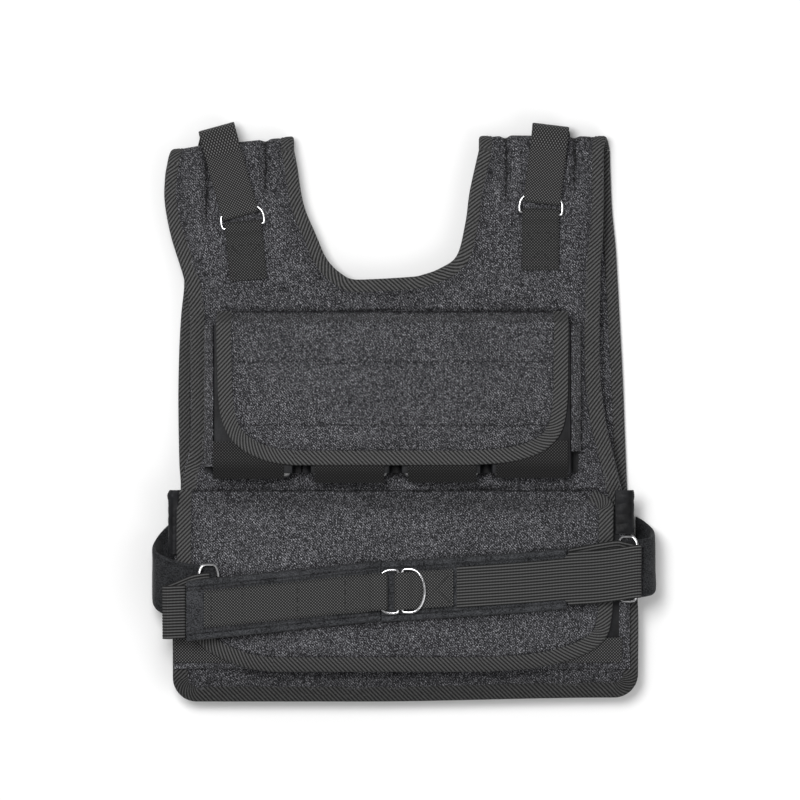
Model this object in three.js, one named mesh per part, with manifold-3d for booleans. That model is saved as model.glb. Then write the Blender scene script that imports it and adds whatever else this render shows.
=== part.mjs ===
// Weighted vest lying on its back, front panel up, belt fastened across the lower pocket.
// Millimetres, +X to the right of the picture, +Y towards the shoulders, +Z up from the floor.
// Tables hold shares of the named sizes: across is a share of the width, up of the length.

import * as THREE from 'three';
import { mergeVertices } from 'three/addons/utils/BufferGeometryUtils.js';
import Module from 'manifold-3d';

const wasm = await Module();
wasm.setup();

// Driving sizes
const vest = { width: 466, length: 568, padding: 8, hollow: 14, hemRadius: 24, hemRise: 4, backHem: 4 };
const tape = { width: 12, thick: 5.6 };
const webbing = { width: 37, thick: 1.8 };
const cloth = 2;
const seat = 0.3;
const wire = 3;
const foldSteps = 8;
const yokeGap = 0.5;

const foldOuter = vest.padding + vest.hollow / 2;
const frontTop = 2 * vest.padding + vest.hollow;
const frontBottom = frontTop - vest.padding;

const upperPocket = { left: -188.5, width: 351, top: 391, drop: 154, bar: 20, barWidth: 76, barLength: 148 };
const lowerPocket = { left: -228.5, width: 436, top: 212, drop: 181, height: 30, edge: 16 };
const belt = { band: 5, bandWidth: 60, elasticWidth: 53, elastic: 2, wing: 4, wingWidth: 60 };
const dRing = { bar: 42.8, arms: 8, reach: 22 };
const sideRing = { bar: 64, arms: 9 };

// Front panel edge from the left shoulder to the hem, and from the hem to the right shoulder
const frontLeft = [
  { across: -0.505, up: 0.947 }, { across: -0.514, up: 0.923 }, { across: -0.516, up: 0.880 },
  { across: -0.506, up: 0.820 }, { across: -0.476, up: 0.745 }, { across: -0.465, up: 0.690 },
  { across: -0.4625, up: 0.616 }, { across: -0.4625, up: 0.461 }, { across: -0.476, up: 0.408 },
  { across: -0.485, up: 0.356 }, { across: -0.4915, up: 0.268 }, { across: -0.5, up: 0.162 },
  { across: -0.5, up: 0.053 },
];
const frontRight = [
  { across: 0.5, up: 0.053 }, { across: 0.5, up: 0.162 }, { across: 0.4915, up: 0.250 },
  { across: 0.476, up: 0.338 }, { across: 0.460, up: 0.391 }, { across: 0.445, up: 0.444 },
  { across: 0.430, up: 0.4965 }, { across: 0.4195, up: 0.567 }, { across: 0.417, up: 0.637 },
  { across: 0.4195, up: 0.7605 }, { across: 0.424, up: 0.813 }, { across: 0.426, up: 0.884 },
  { across: 0.426, up: 0.9735 },
];
const backLeft = [
  { across: -0.498, up: 0.947 }, { across: -0.504, up: 0.880 }, { across: -0.491, up: 0.801 },
  { across: -0.4775, up: 0.745 }, { across: -0.484, up: 0.681 }, { across: -0.488, up: 0.620 },
  { across: -0.490, up: 0.532 }, { across: -0.488, up: 0.426 }, { across: -0.485, up: 0.373 },
  { across: -0.4915, up: 0.268 }, { across: -0.4915, up: 0.060 },
];
const backRight = [
  { across: 0.4915, up: 0.060 }, { across: 0.489, up: 0.232 }, { across: 0.482, up: 0.320 },
  { across: 0.4775, up: 0.391 }, { across: 0.473, up: 0.479 }, { across: 0.469, up: 0.567 },
  { across: 0.4635, up: 0.655 }, { across: 0.459, up: 0.725 }, { across: 0.454, up: 0.796 },
  { across: 0.446, up: 0.866 }, { across: 0.443, up: 0.919 }, { across: 0.441, up: 0.9735 },
];
const neckLine = [
  { across: -0.236, up: 0.9605 }, { across: -0.233, up: 0.937 }, { across: -0.220, up: 0.884 },
  { across: -0.192, up: 0.813 }, { across: -0.162, up: 0.782 }, { across: -0.130, up: 0.752 },
  { across: -0.107, up: 0.745 }, { across: -0.032, up: 0.7465 }, { across: 0.031, up: 0.752 },
  { across: 0.074, up: 0.764 }, { across: 0.1105, up: 0.787 }, { across: 0.129, up: 0.845 },
  { across: 0.1385, up: 0.9015 }, { across: 0.158, up: 0.9735 },
];

// Flap edges: down is a share of the drop, left and right are shares of the width
const upperFlapEdge = [
  { down: 0, left: 0, right: 1 }, { down: 0.08, left: 0, right: 1 }, { down: 0.16, left: 0, right: 1 },
  { down: 0.35, left: 0.002, right: 0.999 }, { down: 0.55, left: 0.005, right: 0.998 },
  { down: 0.68, left: 0.012, right: 0.992 }, { down: 0.78, left: 0.027, right: 0.980 },
  { down: 0.86, left: 0.052, right: 0.955 }, { down: 0.93, left: 0.095, right: 0.910 },
  { down: 0.98, left: 0.155, right: 0.830 }, { down: 1, left: 0.220, right: 0.720 },
];
const lowerFlapEdge = [
  { down: 0, left: 0, right: 0.955 }, { down: 0.035, left: 0, right: 0.985 },
  { down: 0.08, left: 0, right: 1 }, { down: 0.16, left: 0, right: 1 }, { down: 0.35, left: 0, right: 1 },
  { down: 0.55, left: 0.004, right: 1 }, { down: 0.70, left: 0.018, right: 0.996 },
  { down: 0.81, left: 0.040, right: 0.983 }, { down: 0.89, left: 0.075, right: 0.945 },
  { down: 0.95, left: 0.125, right: 0.880 }, { down: 0.985, left: 0.170, right: 0.800 },
  { down: 1, left: 0.220, right: 0.700 },
];

// Finishes
const finish = (color, roughness, metalness = 0) =>
  new THREE.MeshStandardMaterial({ color, roughness, metalness });
const denim = finish(0x3b3b40, 0.95);
const twillTape = finish(0x2c2c2c, 0.9);
const webbingCloth = finish(0x282828, 0.85);
const nylon = finish(0x1d1e20, 0.6);
const ribbing = finish(0x303032, 0.8);
const iron = finish(0x101012, 0.35, 0.6);
const chrome = finish(0xc9cbce, 0.15, 1);

const model = new THREE.Group();
const assembly = new THREE.Group();
model.add(assembly);

function addPiece(name, geometry, material) {
  const mesh = new THREE.Mesh(geometry, material);
  mesh.name = name;
  assembly.add(mesh);
  return mesh;
}

const mix = (a, b, t) => a + (b - a) * t;
const clamp01 = (t) => Math.min(1, Math.max(0, t));
const ease = (t) => clamp01(t) ** 2 * (3 - 2 * clamp01(t));

// A closed body between two grids of points of equal size, whose faces are turned outwards
function shell(top, bottom) {
  const rows = top.length;
  const columns = top[0].length;
  const points = [...top.flat(), ...bottom.flat()];
  const faces = [];
  const quad = (a, b, c, d) => faces.push(a, b, c, a, c, d);
  const upper = (row, column) => row * columns + column;
  const lower = (row, column) => rows * columns + upper(row, column);
  for (let row = 0; row < rows - 1; row += 1) {
    for (let column = 0; column < columns - 1; column += 1) {
      quad(upper(row, column), upper(row, column + 1), upper(row + 1, column + 1), upper(row + 1, column));
      quad(lower(row, column), lower(row + 1, column), lower(row + 1, column + 1), lower(row, column + 1));
    }
    quad(upper(row, 0), upper(row + 1, 0), lower(row + 1, 0), lower(row, 0));
    const last = columns - 1;
    quad(upper(row, last), lower(row, last), lower(row + 1, last), upper(row + 1, last));
  }
  for (let column = 0; column < columns - 1; column += 1) {
    const end = rows - 1;
    quad(upper(0, column), lower(0, column), lower(0, column + 1), upper(0, column + 1));
    quad(upper(end, column), upper(end, column + 1), lower(end, column + 1), lower(end, column));
  }
  return closedGeometry(points, faces);
}

// A closed body through rings of points, joined end to start
function loopBody(rings) {
  const count = rings[0].length;
  const faces = [];
  rings.forEach((ring, index) => {
    const next = (index + 1) % rings.length;
    ring.forEach((point, corner) => {
      const turn = (corner + 1) % count;
      const a = index * count + corner;
      const b = index * count + turn;
      const c = next * count + turn;
      const d = next * count + corner;
      faces.push(a, b, c, a, c, d);
    });
  });
  return closedGeometry(rings.flat(), faces);
}

function closedGeometry(points, faces) {
  let volume = 0;
  for (let index = 0; index < faces.length; index += 3) {
    const [a, b, c] = [points[faces[index]], points[faces[index + 1]], points[faces[index + 2]]];
    volume += a.dot(new THREE.Vector3().crossVectors(b, c));
  }
  const turned = volume > 0 ? faces : [...faces].reverse();
  const geometry = new THREE.BufferGeometry();
  const numbers = points.flatMap((p) => [p.x, p.y, p.z]);
  geometry.setAttribute('position', new THREE.Float32BufferAttribute(numbers, 3));
  geometry.setIndex(turned);
  return geometry;
}

function toSolid(geometry) {
  const bare = geometry.clone();
  bare.deleteAttribute('normal');
  bare.deleteAttribute('uv');
  const merged = mergeVertices(bare, 1e-4);
  return new wasm.Manifold(new wasm.Mesh({
    numProp: 3,
    vertProperties: Float32Array.from(merged.attributes.position.array),
    triVerts: Uint32Array.from(merged.index.array),
  }));
}

function fromSolid(solid) {
  const mesh = solid.getMesh();
  const geometry = new THREE.BufferGeometry();
  geometry.setAttribute('position', new THREE.Float32BufferAttribute(mesh.vertProperties, 3));
  geometry.setIndex(Array.from(mesh.triVerts));
  return geometry;
}

function join(geometries) {
  return fromSolid(geometries.map(toSolid).reduce((whole, solid) => whole.add(solid)));
}

// The shoulder fold: the cloth is laid out flat as if it went straight on past the shoulder line,
// and everything past that line turns round the fold and comes back under the front panel.
const shoulderLine = {
  left: { outer: frontLeft[0], inner: neckLine[0] },
  right: { inner: neckLine[neckLine.length - 1], outer: frontRight[frontRight.length - 1] },
};

function foldLine(x) {
  const { outer, inner } = x < 0 ? shoulderLine.left : shoulderLine.right;
  const t = (x / vest.width - outer.across) / (inner.across - outer.across);
  return mix(outer.up, inner.up, t) * vest.length;
}

function bend(x, y, z) {
  const line = foldLine(x);
  if (y <= line) return new THREE.Vector3(x, y, z);
  const radius = z - foldOuter;
  const turn = (y - line) / foldOuter;
  if (turn >= Math.PI) {
    return new THREE.Vector3(x, line - (y - line - Math.PI * foldOuter), foldOuter - radius);
  }
  return new THREE.Vector3(x, line + radius * Math.sin(turn), foldOuter + radius * Math.cos(turn));
}

// Outlines
function curveThrough(table, steps) {
  const points = table.map(({ across, up }) => new THREE.Vector3(across * vest.width, up * vest.length, 0));
  const curve = new THREE.CatmullRomCurve3(points, false, 'centripetal');
  return curve.getPoints(steps).map((p) => new THREE.Vector2(p.x, p.y));
}

function hemCorner(corner, from, radius) {
  const steps = 5;
  const centre = new THREE.Vector2(corner.x + (from < Math.PI ? -radius : radius), corner.y + radius);
  const start = from < Math.PI ? -Math.PI / 2 : Math.PI;
  return Array.from({ length: steps }, (_, index) => {
    const angle = start + (Math.PI / 2) * ((index + 1) / (steps + 1));
    return new THREE.Vector2(centre.x + radius * Math.cos(angle), centre.y + radius * Math.sin(angle));
  });
}

function panelEdge(left, right, hem) {
  const leftSide = curveThrough(left, 20);
  const rightSide = curveThrough(right, 20);
  const leftCorner = new THREE.Vector2(leftSide[leftSide.length - 1].x, hem);
  const rightCorner = new THREE.Vector2(rightSide[0].x, hem + vest.hemRise);
  const middle = [0.2, 0.5, 0.8].map((t) => new THREE.Vector2(
    mix(leftCorner.x, rightCorner.x, t),
    hem + vest.hemRise * ease((t - 0.4) / 0.6),
  ));
  return [
    ...leftSide,
    ...hemCorner(leftCorner, 2 * Math.PI, vest.hemRadius),
    ...middle,
    ...hemCorner(rightCorner, 0, vest.hemRadius),
    ...rightSide,
  ];
}

// Unit normals on the left of the way the points go
function leftNormals(points) {
  return points.map((point, index) => {
    const before = points[Math.max(0, index - 1)];
    const after = points[Math.min(points.length - 1, index + 1)];
    return new THREE.Vector2(before.y - after.y, after.x - before.x).normalize();
  });
}

function inset(points, distance) {
  const normals = leftNormals(points);
  return points.map((point, index) => point.clone().addScaledVector(normals[index], distance));
}

// Tape round a panel's edge: from the outline inwards, rounded at the outer edge
function tapeRing(point, inward, middle, place) {
  const half = tape.thick / 2;
  const section = [
    { depth: 0, rise: -half * 0.5 }, { depth: 0, rise: half * 0.5 }, { depth: 0.2, rise: half },
    { depth: 1, rise: half }, { depth: 1, rise: -half }, { depth: 0.2, rise: -half },
  ];
  return section.map(({ depth, rise }) => {
    const x = point.x + inward.x * depth * tape.width;
    const y = point.y + inward.y * depth * tape.width;
    return place(x, y, middle + rise);
  });
}

// The open chain of rings becomes a body with flat ends
function chainBody(rings) {
  const top = rings.map((ring) => [ring[1], ring[2], ring[3]]);
  const bottom = rings.map((ring) => [ring[0], ring[5], ring[4]]);
  return shell(top, bottom);
}

const flat = (x, y, z) => new THREE.Vector3(x, y, z);
const frontMiddle = frontTop - vest.padding / 2;
const backMiddle = vest.padding / 2;
const frontEdge = panelEdge(frontLeft, frontRight, 0);
const backEdge = panelEdge(backLeft, backRight, vest.backHem);
const neckEdge = curveThrough(neckLine, 28);
const panelInset = tape.width + seat;

// Points past a shoulder line, laid out flat, going over the fold from the front edge to the back edge
function overFold(front, back, steps) {
  const length = Math.PI * foldOuter;
  return Array.from({ length: steps }, (_, index) => {
    const t = (index + 1) / steps;
    return new THREE.Vector2(mix(front.x, back.x, t), foldLine(mix(front.x, back.x, t)) + length * t);
  });
}

function flatPanel(outer, neck, low) {
  const inner = inset(outer, panelInset);
  const collar = inset([...neck].reverse(), panelInset);
  const shape = new THREE.Shape([...inner, ...collar]);
  const geometry = new THREE.ExtrudeGeometry(shape, { depth: vest.padding, bevelEnabled: false });
  return geometry.translate(0, 0, low);
}

// The padded yoke that goes over one shoulder, one grid row for each step round the fold
function yoke(outerFront, innerFront, outerBack, innerBack) {
  const overlap = 1.5;
  const length = Math.PI * foldOuter;
  const inward = Math.sign(innerFront.x - outerFront.x) * yokeGap;
  const row = (t, height) => {
    const start = mix(outerFront.x, outerBack.x, clamp01(t)) + inward;
    const end = mix(innerFront.x, innerBack.x, clamp01(t)) - inward;
    return [0, 0.5, 1].map((share) => {
      const x = mix(start, end, share);
      return bend(x, foldLine(x) + length * t, height);
    });
  };
  const turns = Array.from({ length: foldSteps + 1 }, (_, index) => index / foldSteps);
  const shares = [-overlap / length, ...turns];
  return shell(shares.map((t) => row(t, frontTop)), shares.map((t) => row(t, frontBottom)));
}

const frontInner = inset(frontEdge, panelInset);
const backInner = inset(backEdge, panelInset + 0.5);
const collarInner = inset([...neckEdge].reverse(), panelInset);
const last = (list) => list[list.length - 1];

addPiece('front_panel', join([
  flatPanel(frontEdge, neckEdge, frontBottom),
  yoke(frontInner[0], last(collarInner), backInner[0], last(collarInner)),
  yoke(last(frontInner), collarInner[0], last(backInner), collarInner[0]),
]), denim);

// The back panel ends a small gap below the yokes' ends
function backPanel() {
  const inner = inset(backEdge, panelInset);
  const collar = inset([...neckEdge].reverse(), panelInset);
  const shorten = (p) => new THREE.Vector2(p.x, Math.min(p.y, foldLine(p.x) - seat));
  const shortened = [...inner, ...collar].map(shorten);
  const options = { depth: vest.padding, bevelEnabled: false };
  const geometry = new THREE.ExtrudeGeometry(new THREE.Shape(shortened), options);
  return geometry;
}
addPiece('back_panel', backPanel(), denim);

// Bindings
function edgeBinding() {
  const leftOver = overFold(frontEdge[0], backEdge[0], foldSteps).reverse();
  const rightOver = overFold(last(frontEdge), last(backEdge), foldSteps);
  const chain = [...leftOver, ...frontEdge, ...rightOver];
  const normals = leftNormals(chain);
  const past = (point) => point.y > foldLine(point.x);
  return chainBody(chain.map((point, index) => {
    const side = new THREE.Vector2(point.x < 0 ? 1 : -1, 0);
    return tapeRing(point, past(point) ? side : normals[index], frontMiddle, bend);
  }));
}
addPiece('front_edge_binding', edgeBinding(), twillTape);

function backBinding() {
  const normals = leftNormals(backEdge);
  return chainBody(backEdge.map((point, index) => {
    const low = new THREE.Vector2(point.x, Math.min(point.y, foldLine(point.x) - seat));
    return tapeRing(low, normals[index], backMiddle, flat);
  }));
}
addPiece('back_edge_binding', backBinding(), twillTape);

function neckBinding() {
  const front = [...neckEdge].reverse();
  const frontNormals = leftNormals(front);
  const rings = front.map((point, index) => tapeRing(point, frontNormals[index], frontMiddle, bend));
  const leftFold = overFold(last(front), last(front), foldSteps).slice(0, -1);
  const rightFold = overFold(front[0], front[0], foldSteps).slice(0, -1).reverse();
  const back = [...front].reverse();
  leftFold.forEach((point) => rings.push(tapeRing(point, new THREE.Vector2(-1, 0), frontMiddle, bend)));
  back.forEach((point, index) => {
    const normal = frontNormals[front.length - 1 - index];
    const under = (x, y, z) => new THREE.Vector3(x, y, frontTop - z);
    rings.push(tapeRing(point, normal, frontMiddle, under));
  });
  rightFold.forEach((point) => rings.push(tapeRing(point, new THREE.Vector2(1, 0), frontMiddle, bend)));
  return loopBody(rings);
}
addPiece('neck_binding', neckBinding(), twillTape);

// Flaps
function flapChain(edge, pocket) {
  const at = (row, share) =>
    new THREE.Vector2(pocket.left + share * pocket.width, pocket.top - row.down * pocket.drop);
  return [...edge.map((row) => at(row, row.left)), ...[...edge].reverse().map((row) => at(row, row.right))];
}

// Height of the upper flap's outer face: it climbs from the seam over the bars and lies flat on them
const upperFlapLow = frontTop + seat + upperPocket.bar + seat + cloth + seat + webbing.thick + seat;
function upperFlapTop(x, y) {
  const climb = ease((upperPocket.top - y) / 13);
  const middle = upperPocket.left + upperPocket.width / 2;
  const crown = 1.5 * (1 - Math.abs((x - middle) / (upperPocket.width / 2)) ** 3);
  return mix(frontTop + seat + cloth, upperFlapLow + cloth + Math.max(0, crown), climb);
}

// Height of the lower flap's outer face: a soft crown, lower towards both sides and the bottom
const lowerFlapMiddle = lowerPocket.left + lowerPocket.width / 2;
function lowerFlapTop(x, y) {
  const climb = ease((lowerPocket.top - y) / 26);
  const u = Math.min(1, Math.abs((x - lowerFlapMiddle) / (lowerPocket.width / 2)));
  const side = lowerPocket.height - lowerPocket.edge * u ** 5;
  const bottom = 7 * ease((y - lowerPocket.top + 0.78 * lowerPocket.drop) / (-0.22 * lowerPocket.drop));
  return mix(frontTop + seat + cloth, frontTop + cloth + side - bottom, climb);
}

function flapBody(chain, height, columns) {
  const inner = inset(chain, tape.width + seat);
  const half = inner.length / 2;
  const rows = inner.slice(0, half).map((point, index) => {
    const other = inner[inner.length - 1 - index];
    return Array.from({ length: columns + 1 }, (_, column) => point.clone().lerp(other, column / columns));
  });
  const lowered = (p, drop) => new THREE.Vector3(p.x, p.y, height(p.x, p.y) - drop);
  const grid = (drop) => rows.map((row) => row.map((p) => lowered(p, drop)));
  return shell(grid(0), grid(cloth));
}

function flapBinding(chain, height) {
  const normals = leftNormals(chain);
  const thick = cloth + 0.8;
  const row = (drop) => chain.map((point, index) => [0, 0.25, 1].map((share) => {
    const p = point.clone().addScaledVector(normals[index], share * tape.width);
    const round = share === 0 ? 0.7 : 0;
    return new THREE.Vector3(p.x, p.y, height(p.x, p.y) + 0.8 - (drop ? thick - round : round));
  }));
  return shell(row(false), row(true));
}

const upperChain = flapChain(upperFlapEdge, upperPocket);
const lowerChain = flapChain(lowerFlapEdge, lowerPocket);
addPiece('upper_flap', flapBody(upperChain, upperFlapTop, 10), denim);
addPiece('upper_flap_binding', flapBinding(upperChain, upperFlapTop), twillTape);
addPiece('lower_flap', flapBody(lowerChain, lowerFlapTop, 14), denim);
addPiece('lower_flap_binding', flapBinding(lowerChain, lowerFlapTop), twillTape);

// A strip of even thickness along a path: x runs along it, y is its middle line, z its height
function strip(path, half, thick, place = flat) {
  const halfAt = typeof half === 'function' ? half : () => half;
  const face = (side) => path.map((point, index) => {
    const before = path[Math.max(0, index - 1)];
    const after = path[Math.min(path.length - 1, index + 1)];
    const normal = new THREE.Vector2(before.z - after.z, after.x - before.x).normalize();
    const x = point.x + normal.x * side * thick / 2;
    const z = point.z + normal.y * side * thick / 2;
    return [-1, 1].map((edge) => place(x, point.y + edge * halfAt(point), z));
  });
  return shell(face(1), face(-1));
}

const at = (x, y, z) => new THREE.Vector3(x, y, z);
const smooth = (points, steps) => new THREE.CatmullRomCurve3(points, false, 'centripetal').getPoints(steps);

// Half a turn round a wire, from the lower layer to the upper one; way is +1 where the strap leaves to +x
function turnRound(x, y, z, radius, way) {
  return [0, 1, 2, 3, 4].map((step) => {
    const angle = (Math.PI * step) / 4;
    return at(x - way * radius * Math.sin(angle), y, z - radius * Math.cos(angle));
  });
}

// A D-shaped ring: a straight bar, two short arms and an arc, lying in the plane of along and up
function ringBody(size, place) {
  const half = size.bar / 2;
  const depth = size.reach - size.arms;
  const points = [-0.86, -0.4, 0.4, 0.86].map((share) => [0, share * half]);
  points.push([0.12 * size.arms, 0.97 * half], [0.5 * size.arms, half], [size.arms, half]);
  const turns = 8;
  for (let step = 1; step < turns; step += 1) {
    const angle = (Math.PI * step) / turns;
    points.push([size.arms + depth * Math.sin(angle), half * Math.cos(angle)]);
  }
  points.push([size.arms, -half], [0.5 * size.arms, -half], [0.12 * size.arms, -0.97 * half]);
  const placed = points.map(([along, across]) => place(along, across));
  const curve = new THREE.CatmullRomCurve3(placed, true, 'centripetal');
  const tube = new THREE.TubeGeometry(curve, 30, wire / 2, 6, true);
  return fromSolid(toSolid(tube));
}

// Upper pocket: four pouches, each a sleeve round an iron bar with a webbing band across its open end
const pouches = [
  { middle: 0.104, bandFrom: -0.010, bandTo: 0.191, bandDrop: 0.9675 },
  { middle: 0.379, bandFrom: 0.279, bandTo: 0.476, bandDrop: 0.995 },
  { middle: 0.638, bandFrom: 0.544, bandTo: 0.738, bandDrop: 0.990 },
  { middle: 0.895, bandFrom: 0.795, bandTo: 0.998, bandDrop: 0.962 },
];
const sleeveTop = upperPocket.top - 0.09 * upperPocket.drop;
const sleeveHalf = upperPocket.barLength / 2;
const barRound = 7;
const barBevel = 1.5;

function barBody(middle) {
  const halfX = upperPocket.barWidth / 2 - barBevel;
  const halfY = upperPocket.barLength / 2 - barBevel;
  const shape = new THREE.Shape();
  shape.moveTo(-halfX + barRound, -halfY);
  shape.lineTo(halfX - barRound, -halfY);
  shape.absarc(halfX - barRound, -halfY + barRound, barRound, -Math.PI / 2, 0);
  shape.absarc(halfX - barRound, halfY - barRound, barRound, 0, Math.PI / 2);
  shape.absarc(-halfX + barRound, halfY - barRound, barRound, Math.PI / 2, Math.PI);
  shape.absarc(-halfX + barRound, -halfY + barRound, barRound, Math.PI, 1.5 * Math.PI);
  const depth = upperPocket.bar - 2 * barBevel;
  const options = { depth, bevelThickness: barBevel, bevelSize: barBevel, bevelSegments: 1, curveSegments: 3 };
  const geometry = new THREE.ExtrudeGeometry(shape, options);
  return geometry.translate(middle, sleeveTop - sleeveHalf - 5, frontTop + seat + barBevel);
}

function sleeveBody(middle) {
  const half = upperPocket.barWidth / 2 + seat + cloth / 2;
  const low = frontTop + seat;
  const high = low + upperPocket.bar + seat + cloth / 2;
  const corner = 2.2;
  const y = sleeveTop - sleeveHalf;
  const side = [
    [half, low], [half, high - corner], [half - 0.3 * corner, high - 0.3 * corner], [half - corner, high],
  ];
  const path = [
    ...side.map(([x, z]) => at(middle - x, y, z)),
    ...[...side].reverse().map(([x, z]) => at(middle + x, y, z)),
  ];
  return strip(path, sleeveHalf, cloth);
}

const pouchBandZ = frontTop + seat + upperPocket.bar + seat + cloth + seat + webbing.thick / 2;
pouches.forEach(({ middle, bandFrom, bandTo, bandDrop }, index) => {
  const number = index + 1;
  const x = upperPocket.left + middle * upperPocket.width;
  const from = upperPocket.left + bandFrom * upperPocket.width;
  const to = upperPocket.left + bandTo * upperPocket.width;
  const y = upperPocket.top - bandDrop * upperPocket.drop;
  addPiece(`weight_bar_${number}`, barBody(x), iron);
  addPiece(`upper_pouch_${number}`, sleeveBody(x), nylon);
  const band = [0, 0.33, 0.67, 1].map((share) => at(mix(from, to, share), y, pouchBandZ));
  addPiece(`pouch_band_${number}`, strip(band, webbing.width / 2, webbing.thick), webbingCloth);
});

// Denim side walls of the upper pocket, leaning from the panel up to the outer pouches
function upperGusset(way) {
  const edge = way < 0 ? upperPocket.left : upperPocket.left + upperPocket.width;
  const length = (way < 0 ? 0.92 : 0.82) * upperPocket.drop;
  const y = sleeveTop - length / 2;
  const foot = at(edge + way * 12, y, frontTop + seat + 0.5);
  const head = at(edge + way * (way < 0 ? 6 : 5), y, frontTop + upperPocket.bar + 1.5);
  const path = [0, 0.35, 0.7, 1].map((t) => foot.clone().lerp(head, t));
  path[1].x += way * 1.2;
  path[2].x += way * 0.8;
  return strip(path, length / 2, cloth);
}
addPiece('upper_gusset_left', upperGusset(-1), denim);
addPiece('upper_gusset_right', upperGusset(1), denim);

// Lower pocket: a wide pouch open towards the shoulders, under the lower flap
const lowerRoom = webbing.thick + 8 * seat;
const pocketLeft = lowerPocket.left - 3;
const pocketRight = lowerPocket.left + lowerPocket.width + 17;
const pocketTopY = lowerPocket.top - 22;
const pocketLowY = 27;
const quarter = (t) => Math.sqrt(1 - (1 - clamp01(t)) ** 2);

function lowerPocketTop(x, y) {
  const side = Math.min(quarter((x - pocketLeft) / 10), quarter((pocketRight - x) / 11));
  const low = frontTop + seat + cloth;
  return mix(low, lowerFlapTop(x, y) - cloth - lowerRoom, side * quarter((y - pocketLowY) / 14));
}

function lowerPocketBody() {
  const width = pocketRight - pocketLeft;
  const shares = [
    0, 0.006, 0.013, 0.024, 0.06, 0.14, 0.26, 0.42, 0.58, 0.74, 0.86, 0.94, 0.976, 0.987, 0.994, 1,
  ];
  const downs = [0, 0.2, 0.45, 0.7, 0.85, 0.92, 0.96, 0.985, 1];
  const grid = (drop) => downs.map((down) => shares.map((share) => {
    const x = pocketLeft + share * width;
    const y = mix(pocketTopY, pocketLowY, down);
    const wall = share < 0.02 || share > 0.98 ? drop : 0;
    const end = down > 0.95 ? drop : 0;
    const inX = x + (share < 0.5 ? wall : -wall);
    const z = drop ? Math.max(frontTop + seat, lowerPocketTop(x, y) - drop) : lowerPocketTop(x, y);
    return at(inX, y + end, z);
  }));
  return shell(grid(0), grid(cloth));
}
addPiece('lower_pocket', lowerPocketBody(), denim);

function lowerBand() {
  const width = 25;
  const middle = pocketLowY + 26;
  const shares = [0.03, 0.06, 0.14, 0.26, 0.42, 0.58, 0.74, 0.86, 0.94, 0.95];
  const face = (lift) => [-1, 0, 1].map((edge) => shares.map((share) => {
    const x = mix(pocketLeft, pocketRight, share);
    const y = middle + (edge * width) / 2;
    return at(x, y, lowerPocketTop(x, y) + lift);
  }));
  return shell(face(3 * seat + webbing.thick), face(3 * seat));
}
addPiece('lower_pocket_band', lowerBand(), webbingCloth);

// Thin nylon side pieces that pucker beside the lower flap's top corners
function sideGather(way) {
  const thick = 1;
  const x = (way < 0 ? pocketLeft : pocketRight) + way * (seat + thick / 2);
  const length = way < 0 ? 60 : 38;
  const y = lowerPocket.top - 4 - length / 2;
  const path = [
    at(x, y, frontTop + 0.6), at(x + way * 4, y, frontTop + 3.5), at(x + way * 4.5, y, frontTop + 8),
  ];
  path.push(at(x + way * 1.5, y, frontTop + 12.5));
  return strip(path, length / 2, thick);
}
addPiece('side_gather_left', sideGather(-1), nylon);
addPiece('side_gather_right', sideGather(1), nylon);

// Both sides of the body, where the wings come round: past the panels and past the lower pocket
const leftSide = Math.min(-vest.width / 2, pocketLeft - 1.5);
const rightSide = Math.max(vest.width / 2, pocketRight + 8.5);

// Places on the belt: down from the lower flap's seam, and up from the front panel's face
const beltAt = (x, down, z) => at(x, lowerPocket.top - down, z);
const onBelt = (x, down, rise) => beltAt(x, down, frontTop + rise);

// Wings: padded bands sewn to the back panel's sides that come round to the front.
// Each row is a place along the wing: out from the body's side, down from the seam, up from the panel
const wingRows = {
  left: [
    { out: -1.5, down: 60, rise: -26 }, { out: 7, down: 66, rise: -24 }, { out: 15, down: 75, rise: -16 },
    { out: 18.3, down: 83, rise: -3 }, { out: 16, down: 90, rise: 9 }, { out: 8, down: 95, rise: 16.5 },
    { out: -5, down: 99.5, rise: 20.6 }, { out: -23, down: 103, rise: 26 }, { out: -35, down: 104, rise: 28.8 },
    { out: -44.6, down: 105, rise: 30.4 },
  ],
  right: [
    { out: -1.5, down: 56, rise: -26 }, { out: 6, down: 60, rise: -24 }, { out: 13, down: 66, rise: -16 },
    { out: 15.2, down: 71, rise: -3 }, { out: 14, down: 75, rise: 8 }, { out: 8, down: 77, rise: 15 },
    { out: -1, down: 78, rise: 17 }, { out: -19.4, down: 78.5, rise: 17.3 },
  ],
};
const outFrom = (side, way) => ({ out, down, rise }) => onBelt(side + way * out, down, rise);
const wingLeftPath = smooth(wingRows.left.map(outFrom(leftSide, -1)), 22);
const wingRightPath = smooth(wingRows.right.map(outFrom(rightSide, 1)), 20);
addPiece('wing_left', strip(wingLeftPath.reverse(), belt.wingWidth / 2 - 1, belt.wing), nylon);
addPiece('wing_right', strip(wingRightPath.reverse(), belt.wingWidth / 2 - 1, belt.wing), nylon);

// Side rings join each wing's end to the belt's elastic
const leftRing = { bar: onBelt(leftSide + 47, 106, 32.6), tip: onBelt(leftSide + 27, 106, 36.6) };
const rightRing = { bar: onBelt(rightSide - 21.5, 78.5, 19.6), tip: onBelt(rightSide - 1.5, 78.5, 26.6) };
function sideRingBody({ bar, tip }) {
  const size = { ...sideRing, reach: bar.distanceTo(tip) };
  const along = tip.clone().sub(bar).normalize();
  return ringBody(size, (u, v) => bar.clone().addScaledVector(along, u).add(at(0, v, 0)));
}
addPiece('side_ring_left', sideRingBody(leftRing), chrome);
addPiece('side_ring_right', sideRingBody(rightRing), chrome);

// Belt
const turnElastic = wire / 2 + seat + belt.elastic / 2;
const turnStrap = wire / 2 + seat + webbing.thick / 2;
const bandHalf = belt.bandWidth / 2;
const elasticHalf = belt.elasticWidth / 2;
const beltRise = 34.9;

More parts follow.
